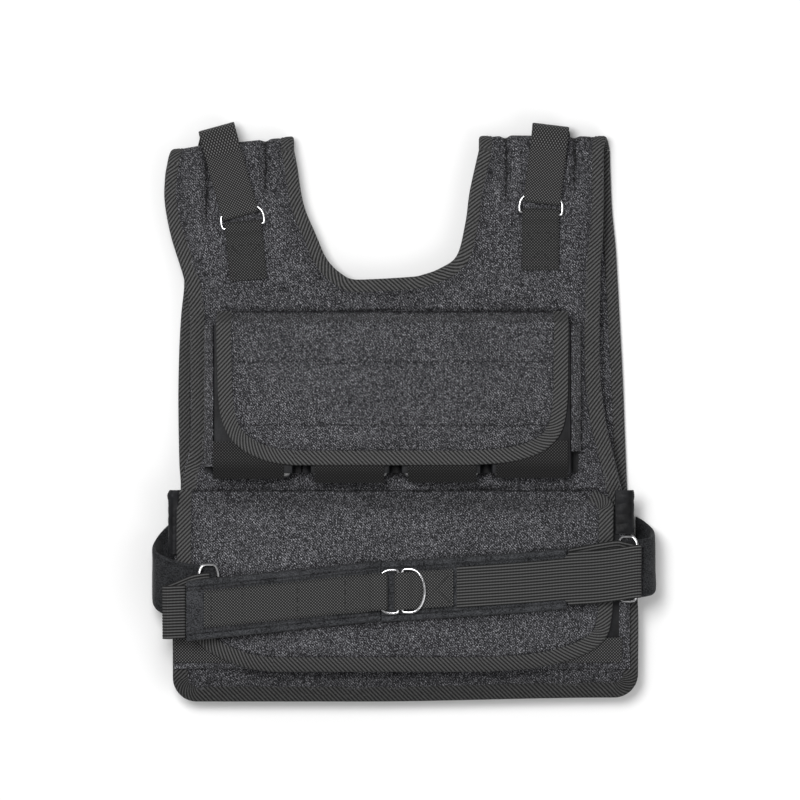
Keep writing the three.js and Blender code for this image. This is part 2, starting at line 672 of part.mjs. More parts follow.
// A half turn round a ring's wire, at a place on the belt
const beltTurn = (x, down, z, radius, way) => turnRound(x, lowerPocket.top - down, z, radius, way);

const elasticFold = { out: 5.5, down: 121.5, rise: 30.4, radius: 2.9 };
const foldedEdge = [0.25, 0.5, 0.75].map((share) => {
  const turn = Math.PI * share;
  const out = elasticFold.out + elasticFold.radius * Math.sin(turn);
  return onBelt(leftSide - out, elasticFold.down, elasticFold.rise - elasticFold.radius * Math.cos(turn));
});
const elasticLeft = [
  onBelt(leftSide + 19, 110, 31.6), onBelt(leftSide + 27, 109, 32.4),
  ...beltTurn(leftSide + 34.8, 108, frontTop + 35, turnElastic, -1),
  ...smooth([
    onBelt(leftSide + 26.5, 109, 39.8), onBelt(leftSide + 19, 111, 38.8), onBelt(leftSide + 5, 117, 32),
    onBelt(leftSide - 4, 120.5, 28),
  ], 8),
  ...foldedEdge,
  onBelt(leftSide - 4, 121.5, 33.4), onBelt(leftSide + 5, 121, 36.4), onBelt(leftSide + 14, 120.5, 40.6),
];
addPiece('elastic_left', strip(elasticLeft, elasticHalf, belt.elastic), ribbing);

const bandLeft = smooth([
  onBelt(leftSide + 15.5, 120, 43), onBelt(leftSide + 30, 118, 44.2), onBelt(leftSide + 47, 116.5, 42.2),
  onBelt(leftSide + 73, 114, 37.4), onBelt(-133.5, 111.5, 35.2), onBelt(-100, 108, beltRise),
  onBelt(-68.5, 104.5, beltRise), onBelt(-25, 100, beltRise),
], 16);
addPiece('belt_band_left', strip(bandLeft, bandHalf, belt.band), nylon);

const bandRight = smooth([
  onBelt(-24, 101, beltRise), onBelt(34.5, 97.5, beltRise), onBelt(100, 93, 34.7), onBelt(130, 90.7, 33.8),
  onBelt(160, 88, 31.9),
], 10);
addPiece('belt_band_right', strip(bandRight, bandHalf, belt.band), nylon);

const elasticRight = [
  ...smooth([
    onBelt(51, 96.2, 38.7), onBelt(100, 93, 38.5), onBelt(130, 90.7, 37.6), onBelt(160, 88, 35.7),
  ], 6),
  ...smooth([
    onBelt(rightSide - 71, 87.8, 35.5), onBelt(rightSide - 43, 86, 31.7), onBelt(rightSide - 21.5, 83.5, 29.2),
    onBelt(rightSide - 8.5, 81.5, 29.3),
  ], 7),
  ...beltTurn(rightSide - 1.5, 80.5, frontTop + 26.6, turnElastic, -1).reverse(),
  ...smooth([
    onBelt(rightSide - 9, 79, 21.4), onBelt(rightSide - 16, 77.5, 21.6), onBelt(rightSide - 23, 76.5, 23),
    onBelt(rightSide - 43, 79.5, 26.6), onBelt(rightSide - 70, 84.5, 30),
  ], 8),
];
const narrow = { half: 20, until: rightSide - 72, above: frontTop + 32 };
const elasticHalfAt = ({ x, z }) => (x < narrow.until && z > narrow.above ? narrow.half : elasticHalf);
addPiece('elastic_right', strip(elasticRight, elasticHalfAt, belt.elastic), ribbing);

// Height of the webbing's middle when it lies on the belt's band
const onBand = belt.band / 2 + seat + webbing.thick / 2;
const strapSeat = frontTop + beltRise + onBand;
const ringPlane = strapSeat + turnStrap;
const strapHigh = ringPlane + turnStrap;
const strapOver = strapSeat + webbing.thick + seat;
const leftBar = beltAt(-7.5, 100.4, ringPlane);
const freeBar = beltAt(-3, 99.6, ringPlane);

const strapTurn = leftBar.x - 13.5;
const beltStrap = [
  ...smooth([
    beltAt(-62, 103.5, strapSeat), beltAt(-40, 102, strapSeat), beltAt(strapTurn, 100.4, strapSeat),
  ], 3)
    .slice(0, -1),
  ...beltTurn(strapTurn, 100.4, ringPlane, turnStrap, -1),
  ...smooth([
    beltAt(leftBar.x - 25, 100.8, strapHigh), beltAt(-42, 102.5, strapOver), beltAt(-64, 104.2, strapOver),
    beltAt(-76, 105.4, strapSeat), beltAt(-100, 108, strapSeat), onBelt(-133.5, 111.5, 35.2 + onBand),
    onBelt(leftSide + 73, 114, 37.6 + onBand), onBelt(leftSide + 47, 116.5, 42.4 + onBand),
    onBelt(leftSide + 33, 117.7, 44.3 + onBand),
  ], 18),
];
addPiece('belt_strap', strip(beltStrap, webbing.width / 2, webbing.thick), webbingCloth);

const keeperTurn = -7.9;
const keeperEnd = 47.5;
const beltKeeper = [
  ...smooth([
    beltAt(keeperEnd, 96.5, strapSeat), beltAt(20, 98.4, strapSeat), beltAt(keeperTurn, 100.2, strapSeat),
  ], 3)
    .slice(0, -1),
  ...beltTurn(keeperTurn, 100.2, ringPlane, turnStrap, 1),
  ...smooth([
    beltAt(1.5, 99.6, strapHigh), beltAt(8, 99.2, strapOver + 0.4), beltAt(13, 98.9, strapOver),
    beltAt(keeperEnd, 96.5, strapOver),
  ], 8),
];
addPiece('belt_keeper', strip(beltKeeper, webbing.width / 2, webbing.thick), webbingCloth);

addPiece('belt_ring_left', ringBody(dRing, (u, v) => leftBar.clone().add(at(-u, v, 0))), chrome);
const freeRise = 3;
const freeArc = (u, v) => freeBar.clone().add(at(u, v, (freeRise * u) / dRing.reach));
addPiece('belt_ring_free', ringBody(dRing, freeArc), chrome);

// Shoulder straps: webbing over each fold, through a D-ring that a keeper holds to the panel
const shoulders = [
  {
    side: 'left', across: -0.3476, fromFold: 66.4, ringLean: 9, strapLean: 13, keeperLean: 5, keeper: 54, proud: 12,
  },
  {
    side: 'right', across: 0.2897, fromFold: 64.45, ringLean: -4.4, strapLean: -6.9, keeperLean: 0, keeper: 56.5,
    proud: 9,
  },
];
const radians = THREE.MathUtils.degToRad;
const padSeat = frontTop + seat + webbing.thick / 2;
const padRing = padSeat + turnStrap;
const padHigh = padRing + turnStrap;
const padOver = padSeat + webbing.thick + seat;

shoulders.forEach(({ side, across, fromFold, ringLean, strapLean, keeperLean, keeper, proud }) => {
  const barX = across * vest.width;
  const bar = at(barX, foldLine(barX) - fromFold, 0);
  const heading = (lean) => (along, sideways, z) => {
    const angle = radians(lean);
    const x = bar.x - along * Math.sin(angle) + sideways * Math.cos(angle);
    const y = bar.y + along * Math.cos(angle) + sideways * Math.sin(angle);
    return bend(x, y, z);
  };
  const toFold = (foldLine(bar.x) - bar.y) / Math.cos(radians(strapLean));
  const round = Math.PI * foldOuter;
  const strapPath = [
    at(38, 0, padSeat), at(26, 0, padSeat),
    ...turnRound(13.5, 0, padRing, turnStrap, 1),
    ...smooth([
      at(24.5, 0, padHigh), at(33, 0, padOver + 1), at(40, 0, padOver + 0.5),
      at(toFold - 6, 0, padOver + 0.3 * proud),
      at(toFold + 0.2 * round, 0, padSeat + 0.85 * proud), at(toFold + 0.4 * round, 0, padSeat + proud),
      at(toFold + 0.6 * round, 0, padSeat + 0.5 * proud), at(toFold + 0.74 * round, 0, padSeat + 0.4),
    ], 18),
  ];
  const keeperPath = [
    at(keeper, 0, padSeat), at(6, 0, padSeat),
    ...turnRound(-1.5, 0, padRing, turnStrap, 1),
    ...smooth([
      at(5, 0, padHigh), at(10, 0, padOver + 0.7), at(16, 0, padOver + 0.05),
      at(22, 0, padOver), at(keeper, 0, padOver),
    ], 8),
  ];
  const half = webbing.width / 2;
  addPiece(`shoulder_strap_${side}`, strip(strapPath, half, webbing.thick, heading(strapLean)), webbingCloth);
  const keeperStrip = strip(keeperPath, half, webbing.thick, heading(keeperLean + 180));
  addPiece(`shoulder_keeper_${side}`, keeperStrip, webbingCloth);
  const ringPlace = heading(ringLean);
  addPiece(`shoulder_ring_${side}`, ringBody(dRing, (u, v) => ringPlace(u, v, padRing)), chrome);
});

// The model stands with the middle of its box over the origin and its lowest point on the floor
const box = new THREE.Box3().setFromObject(model);
assembly.position.set(-(box.min.x + box.max.x) / 2, -(box.min.y + box.max.y) / 2, -box.min.z);

export default model;
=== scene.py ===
# Weighted vest laid flat, front panel up, belt fastened across the lower pocket
import math
import bmesh
import bpy
import numpy as np
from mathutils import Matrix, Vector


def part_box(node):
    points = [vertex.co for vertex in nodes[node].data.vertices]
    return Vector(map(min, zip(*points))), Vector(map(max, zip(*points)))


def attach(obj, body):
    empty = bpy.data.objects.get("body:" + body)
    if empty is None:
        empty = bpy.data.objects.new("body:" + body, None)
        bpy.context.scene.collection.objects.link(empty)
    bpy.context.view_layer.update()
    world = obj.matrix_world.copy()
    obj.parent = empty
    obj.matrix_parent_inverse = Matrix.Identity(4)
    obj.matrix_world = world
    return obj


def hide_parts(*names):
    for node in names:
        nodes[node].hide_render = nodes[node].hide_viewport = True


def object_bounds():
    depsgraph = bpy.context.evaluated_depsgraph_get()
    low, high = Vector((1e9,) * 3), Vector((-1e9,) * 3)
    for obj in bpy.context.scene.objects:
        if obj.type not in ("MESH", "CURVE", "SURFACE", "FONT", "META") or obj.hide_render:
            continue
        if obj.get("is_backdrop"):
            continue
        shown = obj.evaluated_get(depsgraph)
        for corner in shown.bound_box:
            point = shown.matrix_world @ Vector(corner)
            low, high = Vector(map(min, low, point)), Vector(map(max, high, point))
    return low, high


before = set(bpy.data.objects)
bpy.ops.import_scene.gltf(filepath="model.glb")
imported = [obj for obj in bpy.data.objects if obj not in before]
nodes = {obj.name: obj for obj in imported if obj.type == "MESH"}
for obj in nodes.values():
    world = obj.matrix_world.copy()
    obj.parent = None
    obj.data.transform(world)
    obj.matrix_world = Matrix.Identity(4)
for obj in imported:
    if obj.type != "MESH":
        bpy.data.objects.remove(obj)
cadLow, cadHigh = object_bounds()
print("frame loaded,", len(nodes), "nodes")

# Sizes shared by many pieces, in millimetres: x to the right, y up from the hem, z up from the floor
vest = {"width": 466, "length": 568, "padding": 8, "foldOuter": 15, "top": 30}
upperPocket = {"left": -188.5, "width": 351, "top": 391, "drop": 154, "bar": 20}
lowerPocket = {"left": -228.5, "width": 436, "top": 212, "drop": 181, "height": 30, "edge": 16}
webbing = {"half": 18.5, "thick": 1.8}
wire = 3.0

# The frame's origin is the middle of the box, and the sizes above start at the hem's middle
shift = np.array([
    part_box("upper_flap_binding")[0].x * 1000 - upperPocket["left"],
    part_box("front_edge_binding")[0].y * 1000,
    0.0,
])


# Small curve and noise helpers
def mix(a, b, t):
    return a + (b - a) * t


def ease(t):
    t = np.clip(t, 0, 1)
    return t * t * (3 - 2 * t)


def bump(d, reach):
    # 1 at d = 0, falling smoothly to 0 at the reach
    return ease(1 - np.abs(d) / reach)


def rumple(x, y, size, seed):
    # smooth noise from -1 to 1, with blobs of about that size
    table = np.random.default_rng(seed).uniform(-1, 1, (64, 64))
    gx, gy = np.asarray(x) / size + 31.7, np.asarray(y) / size + 17.3
    ix, iy = np.floor(gx).astype(int), np.floor(gy).astype(int)
    fx, fy = ease(gx - ix), ease(gy - iy)
    low = mix(table[ix % 64, iy % 64], table[(ix + 1) % 64, iy % 64], fx)
    high = mix(table[ix % 64, (iy + 1) % 64], table[(ix + 1) % 64, (iy + 1) % 64], fx)
    return mix(low, high, fy)


def lengths(line):
    steps = np.linalg.norm(np.diff(line, axis=0), axis=1)
    return np.concatenate([[0], np.cumsum(steps)])


def resample(line, count):
    along = lengths(line)
    want = np.linspace(0, along[-1], count)
    return np.stack([np.interp(want, along, line[:, k]) for k in range(line.shape[1])], axis=1)


def curve(points, count=60, closed=False):
    # a curve through the points, evenly spaced
    p = np.array(points, float)
    ends = [p[-1:], p, p[:2]] if closed else [2 * p[:1] - p[1:2], p, 2 * p[-1:] - p[-2:-1]]
    p = np.concatenate(ends)
    made = []
    for i in range(1, len(p) - 2):
        t = np.linspace(0, 1, 24, endpoint=False)[:, None]
        a, b, c, d = p[i - 1], p[i], p[i + 1], p[i + 2]
        turn = (2 * b + (c - a) * t + (2 * a - 5 * b + 4 * c - d) * t**2 + (3 * b - a - 3 * c + d) * t**3)
        made.append(turn / 2)
    made.append(p[-2:-1])
    return resample(np.concatenate(made), count)


def awayFrom(x, y, line):
    # distance from each point to a line of points
    x, y = np.asarray(x), np.asarray(y)
    flat = np.stack([x.ravel(), y.ravel()], axis=1)
    best = np.full(len(flat), 1e9)
    for start in range(0, len(flat), 8000):
        part = flat[start:start + 8000]
        gap = ((part[:, None, :] - line[None, :, :2]) ** 2).sum(axis=2)
        best[start:start + 8000] = np.sqrt(gap.min(axis=1))
    return best.reshape(x.shape)


def plain(x, y, z):
    return np.stack([x, y, z], axis=-1)


# Grids of points become meshes
sharpFrom = 55


def gridFaces(rows, columns, first=0, wrapRows=False, wrapColumns=False):
    r = np.arange(rows if wrapRows else rows - 1)[:, None]
    c = np.arange(columns if wrapColumns else columns - 1)[None, :]
    r2, c2 = (r + 1) % rows, (c + 1) % columns
    quads = np.stack([r * columns + c, r * columns + c2, r2 * columns + c2, r2 * columns + c], axis=2)
    return (quads.reshape(-1, 4) + first).tolist()


def shellFaces(rows, columns):
    # two grids one over the other, closed round their rim
    size = rows * columns
    faces = gridFaces(rows, columns)
    faces += [quad[::-1] for quad in gridFaces(rows, columns, size)]
    rim = [(0, c) for c in range(columns)] + [(r, columns - 1) for r in range(1, rows)]
    rim += [(rows - 1, c) for c in range(columns - 2, -1, -1)] + [(r, 0) for r in range(rows - 2, 0, -1)]
    for here, there in zip(rim, rim[1:] + rim[:1]):
        a, b = here[0] * columns + here[1], there[0] * columns + there[1]
        faces.append([b, a, a + size, b + size])
    return faces


def makePiece(name, points, faces, material, stands=(), body="vest", weave=None, shade=None):
    points = np.asarray(points, float).reshape(-1, 3)
    mesh = bpy.data.meshes.new(name)
    mesh.from_pydata(((points + shift) / 1000).tolist(), [], faces)
    mesh.polygons.foreach_set("use_smooth", [True] * len(mesh.polygons))
    mesh.set_sharp_from_angle(angle=math.radians(sharpFrom))
    if weave is not None:
        # along and across the cloth, in millimetres, for the woven materials
        layer = mesh.attributes.new("weave", "FLOAT_VECTOR", "POINT")
        layer.data.foreach_set("vector", np.asarray(weave, float).reshape(-1).astype(np.float32))
    if shade is not None:
        # 1 where the colour is darkest: painted shade in grooves, creases and recesses, beside tapes and
        #                                edges, under the belt and inside the upper pocket, dark seam and
        #                                stitch lines, and a darkening towards the hem
        layer = mesh.attributes.new("shade", "FLOAT", "POINT")
        layer.data.foreach_set("value", np.asarray(shade, float).reshape(-1).astype(np.float32))
    mesh.update()
    loose = bmesh.new()
    loose.from_mesh(mesh)
    if loose.calc_volume(signed=True) < 0:
        mesh.flip_normals()
    loose.free()
    piece = bpy.data.objects.new(name, mesh)
    bpy.context.scene.collection.objects.link(piece)
    mesh.materials.append(material)
    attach(piece, body)
    if stands:
        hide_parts(*stands)
    return piece


def shellPiece(name, top, low, material, stands, weave=None, shade=None):
    # both faces of the cloth carry the same weave and shade
    woven = None if weave is None else [weave] * 2
    dark = None if shade is None else [shade] * 2
    return makePiece(name, [top, low], shellFaces(*top.shape[:2]), material, stands, weave=woven, shade=dark)


def ringPiece(name, rings, *rest, closed=False, **more):
    # a body through rings of points, with flat ends unless it closes on itself
    rows, columns = np.shape(rings)[:2]
    faces = gridFaces(rows, columns, 0, closed, True)
    if not closed:
        faces.append(list(range(columns)))
        faces.append(list(range((rows - 1) * columns, rows * columns))[::-1])
    return makePiece(name, rings, faces, *rest, **more)


# Materials
def shader(name, colour, roughness, metallic=0.0, sheen=0.0, coat=0.0, specular=0.5):
    material = bpy.data.materials.new(name)
    material.use_nodes = True
    tree = material.node_tree
    base = tree.nodes["Principled BSDF"]
    facts = {
        "Base Color": (*colour, 1), "Roughness": roughness, "Metallic": metallic,
        "Specular IOR Level": specular, "Sheen Weight": sheen, "Sheen Roughness": 0.45,
        "Coat Weight": coat, "Coat Roughness": 0.12,
    }
    for key, value in facts.items():
        base.inputs[key].default_value = value
    return material, tree, base


def put(tree, kind, sockets=(), **settings):
    node = tree.nodes.new(kind)
    for key, value in settings.items():
        setattr(node, key, value)
    for key, value in dict(sockets).items():
        if isinstance(value, bpy.types.NodeSocket):
            tree.links.new(value, node.inputs[key])
        else:
            node.inputs[key].default_value = value
    return node.outputs[0]


def math2(tree, operation, a, b=0.0):
    return put(tree, "ShaderNodeMath", {0: a, 1: b}, operation=operation)


def timesPlus(tree, a, b, c):
    return put(tree, "ShaderNodeMath", {0: a, 1: b, 2: c}, operation="MULTIPLY_ADD")


def weaveAxes(tree):
    vector = put(tree, "ShaderNodeAttribute", attribute_name="weave")
    node = vector.node
    split = put(tree, "ShaderNodeSeparateXYZ", {0: node.outputs["Vector"]}).node
    return split.outputs[0], split.outputs[1], node.outputs["Vector"]


def wave01(tree, value, pitch, phase=0.0):
    turn = timesPlus(tree, value, 2 * math.pi / pitch, phase)
    sine = math2(tree, "SINE", turn)
    return timesPlus(tree, sine, 0.5, 0.5)


def grain(tree, vector, scale, detail=2.0, stretch=(1, 1, 1), turn=0.0):
    laid = put(tree, "ShaderNodeMapping", {"Vector": vector, "Scale": stretch, "Rotation": (0, 0, turn)})
    return put(tree, "ShaderNodeTexNoise", {"Vector": laid, "Scale": scale, "Detail": detail})


def ramp(tree, value, stops):
    out = put(tree, "ShaderNodeValToRGB", {0: value})
    band = out.node.color_ramp
    while len(band.elements) < len(stops):
        band.elements.new(0.5)
    for element, (place, colour) in zip(band.elements, stops):
        element.position = place
        element.color = (*colour, 1) if hasattr(colour, "__len__") else (colour, colour, colour, 1)
    return out


def multiplied(tree, a, b):
    # one colour dimmed by another
    sockets = {0: 1.0, 6: a, 7: b}
    return put(tree, "ShaderNodeMix", sockets, data_type="RGBA", blend_type="MULTIPLY").node.outputs[2]


def finish(tree, base, tone, height, strength, distance, gloss=None):
    tree.links.new(tone, base.inputs["Base Color"])
    if gloss is not None:
        tree.links.new(gloss, base.inputs["Roughness"])
    out = put(tree, "ShaderNodeBump", {"Height": height, "Strength": strength, "Distance": distance})
    tree.links.new(out, base.inputs["Normal"])


def objectPlace(tree):
    return put(tree, "ShaderNodeTexCoord").node.outputs["Object"]


def darker(tree, colour, amount):
    # the colour, darkened by the shade attribute, which is read into seam below: painted shade in grooves,
    # creases, recesses and under things, and dark seam and stitch lines
    seam = put(tree, "ShaderNodeAttribute", attribute_name="shade").node.outputs["Fac"]
    keep = timesPlus(tree, seam, -amount, 1.0)
    return multiplied(tree, colour, keep)


denimLook = {
    "dark": 0.004, "mid": 0.030, "light": 0.094, "pale": 0.46,
    "twill": 0.0020, "yarn": (0.00042, 0.0008), "slant": -42,
    # share of the ramp, its tone, and how much bluer than grey it is
    "stops": ((0.10, "dark", 1.06), (0.56, "mid", 1.10), (0.84, "light", 1.12), (1.0, "pale", 1.06)),
}


def denimMaterial():
    # short yarns laid at a slant, each with a tone of its own, over fine twill lines
    material, tree, base = shader("charcoalDenim", (0.04, 0.04, 0.044), 0.93, sheen=0.04, specular=0.16)
    place = objectPlace(tree)
    across, along = denimLook["yarn"]
    yarns = {"Rotation": (0, 0, math.radians(denimLook["slant"])), "Scale": (1 / across, 1 / along, 160)}
    laid = put(tree, "ShaderNodeMapping", {"Vector": place, **yarns})
    wobble = put(tree, "ShaderNodeTexNoise", {"Vector": place, "Scale": 420, "Detail": 2})
    wobble = wobble.node.outputs["Color"]
    moved = put(tree, "ShaderNodeVectorMath", {0: laid, 1: wobble}, operation="ADD")
    cells = put(tree, "ShaderNodeVectorMath", {0: moved}, operation="FLOOR")
    chance = put(tree, "ShaderNodeTexWhiteNoise", {"Vector": cells}, noise_dimensions="3D")
    fuzz = grain(tree, place, 1500, 2)
    mixed = timesPlus(tree, fuzz, 0.35, math2(tree, "MULTIPLY", chance, 0.83))
    stops = [(at, denimLook[key], blue) for at, key, blue in denimLook["stops"]]
    tone = ramp(tree, mixed, [(at, (grey, grey, grey * blue)) for at, grey, blue in stops])
    split = put(tree, "ShaderNodeSeparateXYZ", {0: place}).node
    slant = math2(tree, "ADD", split.outputs[0], split.outputs[1])
    twill = wave01(tree, slant, denimLook["twill"] * 1.41)
    lines = ramp(tree, twill, [(0.1, 0.44), (0.9, 1.0)])
    worn = ramp(tree, grain(tree, place, 22, 4), [(0.3, 0.80), (0.72, 1.0)])
    colour = multiplied(tree, multiplied(tree, tone, lines), worn)
    height = timesPlus(tree, twill, 0.5, mixed)
    finish(tree, base, darker(tree, colour, 0.75), height, 0.4, 0.0004)
    return material


tapeLook = {"dark": 0.005, "light": 0.105, "pitch": 4.4}


def tapeMaterial():
    # slanted ribs in relief are in the mesh, the yarns between them are here; the rib crests are painted
    # lighter and the hollows darker, as painted highlight and shade
    material, tree, base = shader("twillTape", (0.025, 0.025, 0.025), 0.9, sheen=0.04, specular=0.16)
    along, across, vector = weaveAxes(tree)
    rib = wave01(tree, math2(tree, "ADD", along, across), tapeLook["pitch"])
    yarns = wave01(tree, math2(tree, "SUBTRACT", along, math2(tree, "MULTIPLY", across, 0.6)), 1.15)
    fuzz = grain(tree, vector, 0.9, 3)
    height = timesPlus(tree, yarns, 0.25, math2(tree, "MULTIPLY", rib, 0.45))
    rough = timesPlus(tree, fuzz, 0.6, height)
    dark, light = tapeLook["dark"], tapeLook["light"]
    tone = ramp(tree, rough, [(0.36, dark), (0.62, 0.28 * (dark + light)), (0.92, light)])
    finish(tree, base, darker(tree, tone, 0.7), rough, 0.6, 0.0005)
    return material


webbingLook = {"dark": 0.004, "light": 0.17, "pitch": 3.0}


def webbingMaterial():
    # rows of small raised dots, each row half a pitch along from the last; the dots are painted lighter than
    # the hollows between them, as painted highlight and shade
    material, tree, base = shader("wovenWebbing", (0.024, 0.024, 0.025), 0.82, sheen=0.04, specular=0.2)
    along, across, vector = weaveAxes(tree)
    first = wave01(tree, math2(tree, "ADD", along, across), webbingLook["pitch"])
    second = wave01(tree, math2(tree, "SUBTRACT", along, across), webbingLook["pitch"])
    dots = math2(tree, "MULTIPLY", first, second)
    fuzz = grain(tree, vector, 1.2, 3)
    rough = timesPlus(tree, fuzz, 0.4, math2(tree, "MULTIPLY", dots, 0.8))
    light = webbingLook["light"]
    tone = ramp(tree, rough, [(0.18, webbingLook["dark"]), (0.48, 0.20 * light), (0.95, light)])
    finish(tree, base, darker(tree, tone, 0.7), rough, 0.8, 0.0006)
    return material


def nylonMaterial():
    material, tree, base = shader("thinNylon", (0.010, 0.0105, 0.012), 0.6, specular=0.14)
    place = objectPlace(tree)
    fine = grain(tree, place, 900, 2)
    folds = grain(tree, place, 95, 3, (1, 0.35, 1))
    height = timesPlus(tree, fine, 0.12, folds)
    # the raised folds are painted lighter and the hollows darker, as painted highlight and shade
    tone = ramp(tree, folds, [(0.35, (0.004, 0.004, 0.0046)), (0.7, (0.013, 0.0135, 0.0155))])
    gloss = ramp(tree, fine, [(0.3, 0.45), (0.7, 0.62)])
    finish(tree, base, tone, height, 0.35, 0.002, gloss)
    return material


def beltClothMaterial():
    material, tree, base = shader("brushedKnit", (0.02, 0.0205, 0.022), 0.96, sheen=0.08, specular=0.12)
    place = objectPlace(tree)
    nap = grain(tree, place, 780, 4)
    drift = grain(tree, place, 70, 3)
    both = timesPlus(tree, drift, 0.22, math2(tree, "MULTIPLY", nap, 0.78))
    tone = ramp(tree, both, [(0.38, (0.008, 0.0083, 0.0093)), (0.64, (0.062, 0.064, 0.069))])
    finish(tree, base, darker(tree, tone, 0.7), nap, 0.5, 0.0006)
    return material


def elasticMaterial():
    # the ribs are in the mesh, the rubber's cross threads are here
    material, tree, base = shader("ribbedElastic", (0.026, 0.026, 0.028), 0.88, sheen=0.04, specular=0.16)
    along, across, vector = weaveAxes(tree)
    threads = wave01(tree, along, 1.5)
    ribs = wave01(tree, across, elastic["pitch"], -math.pi / 2)
    fuzz = grain(tree, vector, 1.5, 3)
    rough = timesPlus(tree, threads, 0.16, math2(tree, "MULTIPLY", ribs, 0.55))
    rough = timesPlus(tree, fuzz, 0.3, rough)
    tone = ramp(tree, rough, [(0.24, 0.005), (0.55, 0.030), (0.84, 0.105)])
    finish(tree, base, tone, rough, 0.5, 0.0004)
    return material


def spottedMaterial(name, colour, roughness, spots, stops, relief, gloss=None, **more):
    # one grain gives the tone, the relief and, for bare metal, the gloss
    material, tree, base = shader(name, colour, roughness, **more)
    spots = grain(tree, objectPlace(tree), *spots)
    gloss = ramp(tree, spots, gloss) if gloss else None
    finish(tree, base, ramp(tree, spots, stops), spots, *relief, gloss)
    return material


elastic = {"pitch": 2.9, "thick": 2.0, "half": 26.5}
denim = denimMaterial()
twillTape = tapeMaterial()
webbingCloth = webbingMaterial()
thinNylon = nylonMaterial()
beltCloth = beltClothMaterial()
ribbing = elasticMaterial()
iron = spottedMaterial(
    "enamelledIron", (0.012, 0.012, 0.014), 0.3, (180, 3),
    [(0.35, (0.008, 0.008, 0.009)), (0.7, (0.018, 0.018, 0.02))], (0.25, 0.001), coat=0.8)
nickel = spottedMaterial(
    "nickelWire", (0.55, 0.55, 0.56), 0.16, (420, 4, (1, 0.3, 1)),
    [(0.3, (0.42, 0.42, 0.43)), (0.7, (0.60, 0.60, 0.61))], (0.05, 0.0005),
    [(0.35, 0.09), (0.75, 0.24)], metallic=1.0)
thread = spottedMaterial(
    "sewingThread", (0.02, 0.02, 0.022), 0.7, (1400, 2),
    [(0.35, 0.010), (0.7, 0.040)], (0.3, 0.0003), specular=0.2)
print("materials made")

# Outlines, as shares of the width and the length, the same as the frame's
outlines = {
    "frontLeft": [
        (-0.512, 0.949), (-0.517, 0.923), (-0.5175, 0.880), (-0.504, 0.820), (-0.476, 0.745), (-0.465, 0.690),
        (-0.4625, 0.616), (-0.4625, 0.461), (-0.476, 0.408), (-0.485, 0.356), (-0.4915, 0.268), (-0.5, 0.162),
        (-0.5, 0.053),
    ],
    "frontRight": [
        (0.5, 0.053), (0.5, 0.162), (0.4915, 0.250), (0.476, 0.338), (0.460, 0.391), (0.445, 0.444),
        (0.430, 0.4965), (0.4195, 0.567), (0.417, 0.637), (0.4195, 0.7605), (0.424, 0.813), (0.426, 0.884),
        (0.426, 0.9735),
    ],
    "backLeft": [
        (-0.498, 0.947), (-0.504, 0.880), (-0.491, 0.801), (-0.4775, 0.745), (-0.484, 0.681), (-0.488, 0.620),
        (-0.490, 0.532), (-0.488, 0.426), (-0.485, 0.373), (-0.4915, 0.268), (-0.4915, 0.060),
    ],
    "backRight": [
        (0.4915, 0.060), (0.489, 0.232), (0.482, 0.320), (0.4775, 0.391), (0.473, 0.479), (0.469, 0.567),
        (0.4635, 0.655), (0.459, 0.725), (0.454, 0.796), (0.446, 0.866), (0.443, 0.919), (0.441, 0.9735),
    ],
    "neck": [
        (-0.240, 0.973), (-0.2335, 0.946), (-0.2195, 0.878), (-0.1925, 0.823), (-0.1725, 0.785),
        (-0.1534, 0.765), (-0.1354, 0.7532), (-0.1176, 0.7455), (-0.0856, 0.7444), (0.0097, 0.7488),
        (0.038, 0.753), (0.074, 0.764), (0.1105, 0.787), (0.129, 0.845), (0.1385, 0.9015),
        (0.158, 0.9735),
    ],
    "hemRadius": 24, "hemRise": 4, "backHem": 4,
}


def outlineCurve(name, count=260):
    shares = np.array(outlines[name])
    return curve(shares * (vest["width"], vest["length"]), count)


def edgeLine(left, right, hem):
    # the left side down, round the hem's corners, and the right side up
    radius = outlines["hemRadius"]
    a, b = outlineCurve(left), outlineCurve(right)
    turn = np.linspace(0, math.pi / 2, 24)[:, None]
    lowLeft = np.array([[a[-1, 0] + radius, hem + radius]])
    lowRight = np.array([[b[0, 0] - radius, hem + outlines["hemRise"] + radius]])
    cornerLeft = lowLeft - radius * np.hstack([np.cos(turn), np.sin(turn)])
    cornerRight = lowRight + radius * np.hstack([np.sin(turn), -np.cos(turn)])
    share = np.linspace(0, 1, 60)[1:-1, None]
    bottom = mix(cornerLeft[-1:], cornerRight[:1], share)
    bottom[:, 1:] = hem + outlines["hemRise"] * ease((share - 0.4) / 0.6)
    return np.concatenate([a, cornerLeft, bottom, cornerRight, b])


frontEdge = edgeLine("frontLeft", "frontRight", 0)
backEdge = edgeLine("backLeft", "backRight", outlines["backHem"])
neckEdge = outlineCurve("neck")
frontMiddle = vest["top"] - vest["padding"] / 2
backMiddle = vest["padding"] / 2
foldLength = math.pi * vest["foldOuter"]


def foldLine(x):
    # height of the shoulder line, where the cloth turns over to the back
    x = np.asarray(x, float)
    left = mix(frontEdge[0, 1], neckEdge[0, 1], (x - frontEdge[0, 0]) / (neckEdge[0, 0] - frontEdge[0, 0]))
    share = (x - neckEdge[-1, 0]) / (frontEdge[-1, 0] - neckEdge[-1, 0])
    right = mix(neckEdge[-1, 1], frontEdge[-1, 1], share)
    return np.where(x < 0, left, right)


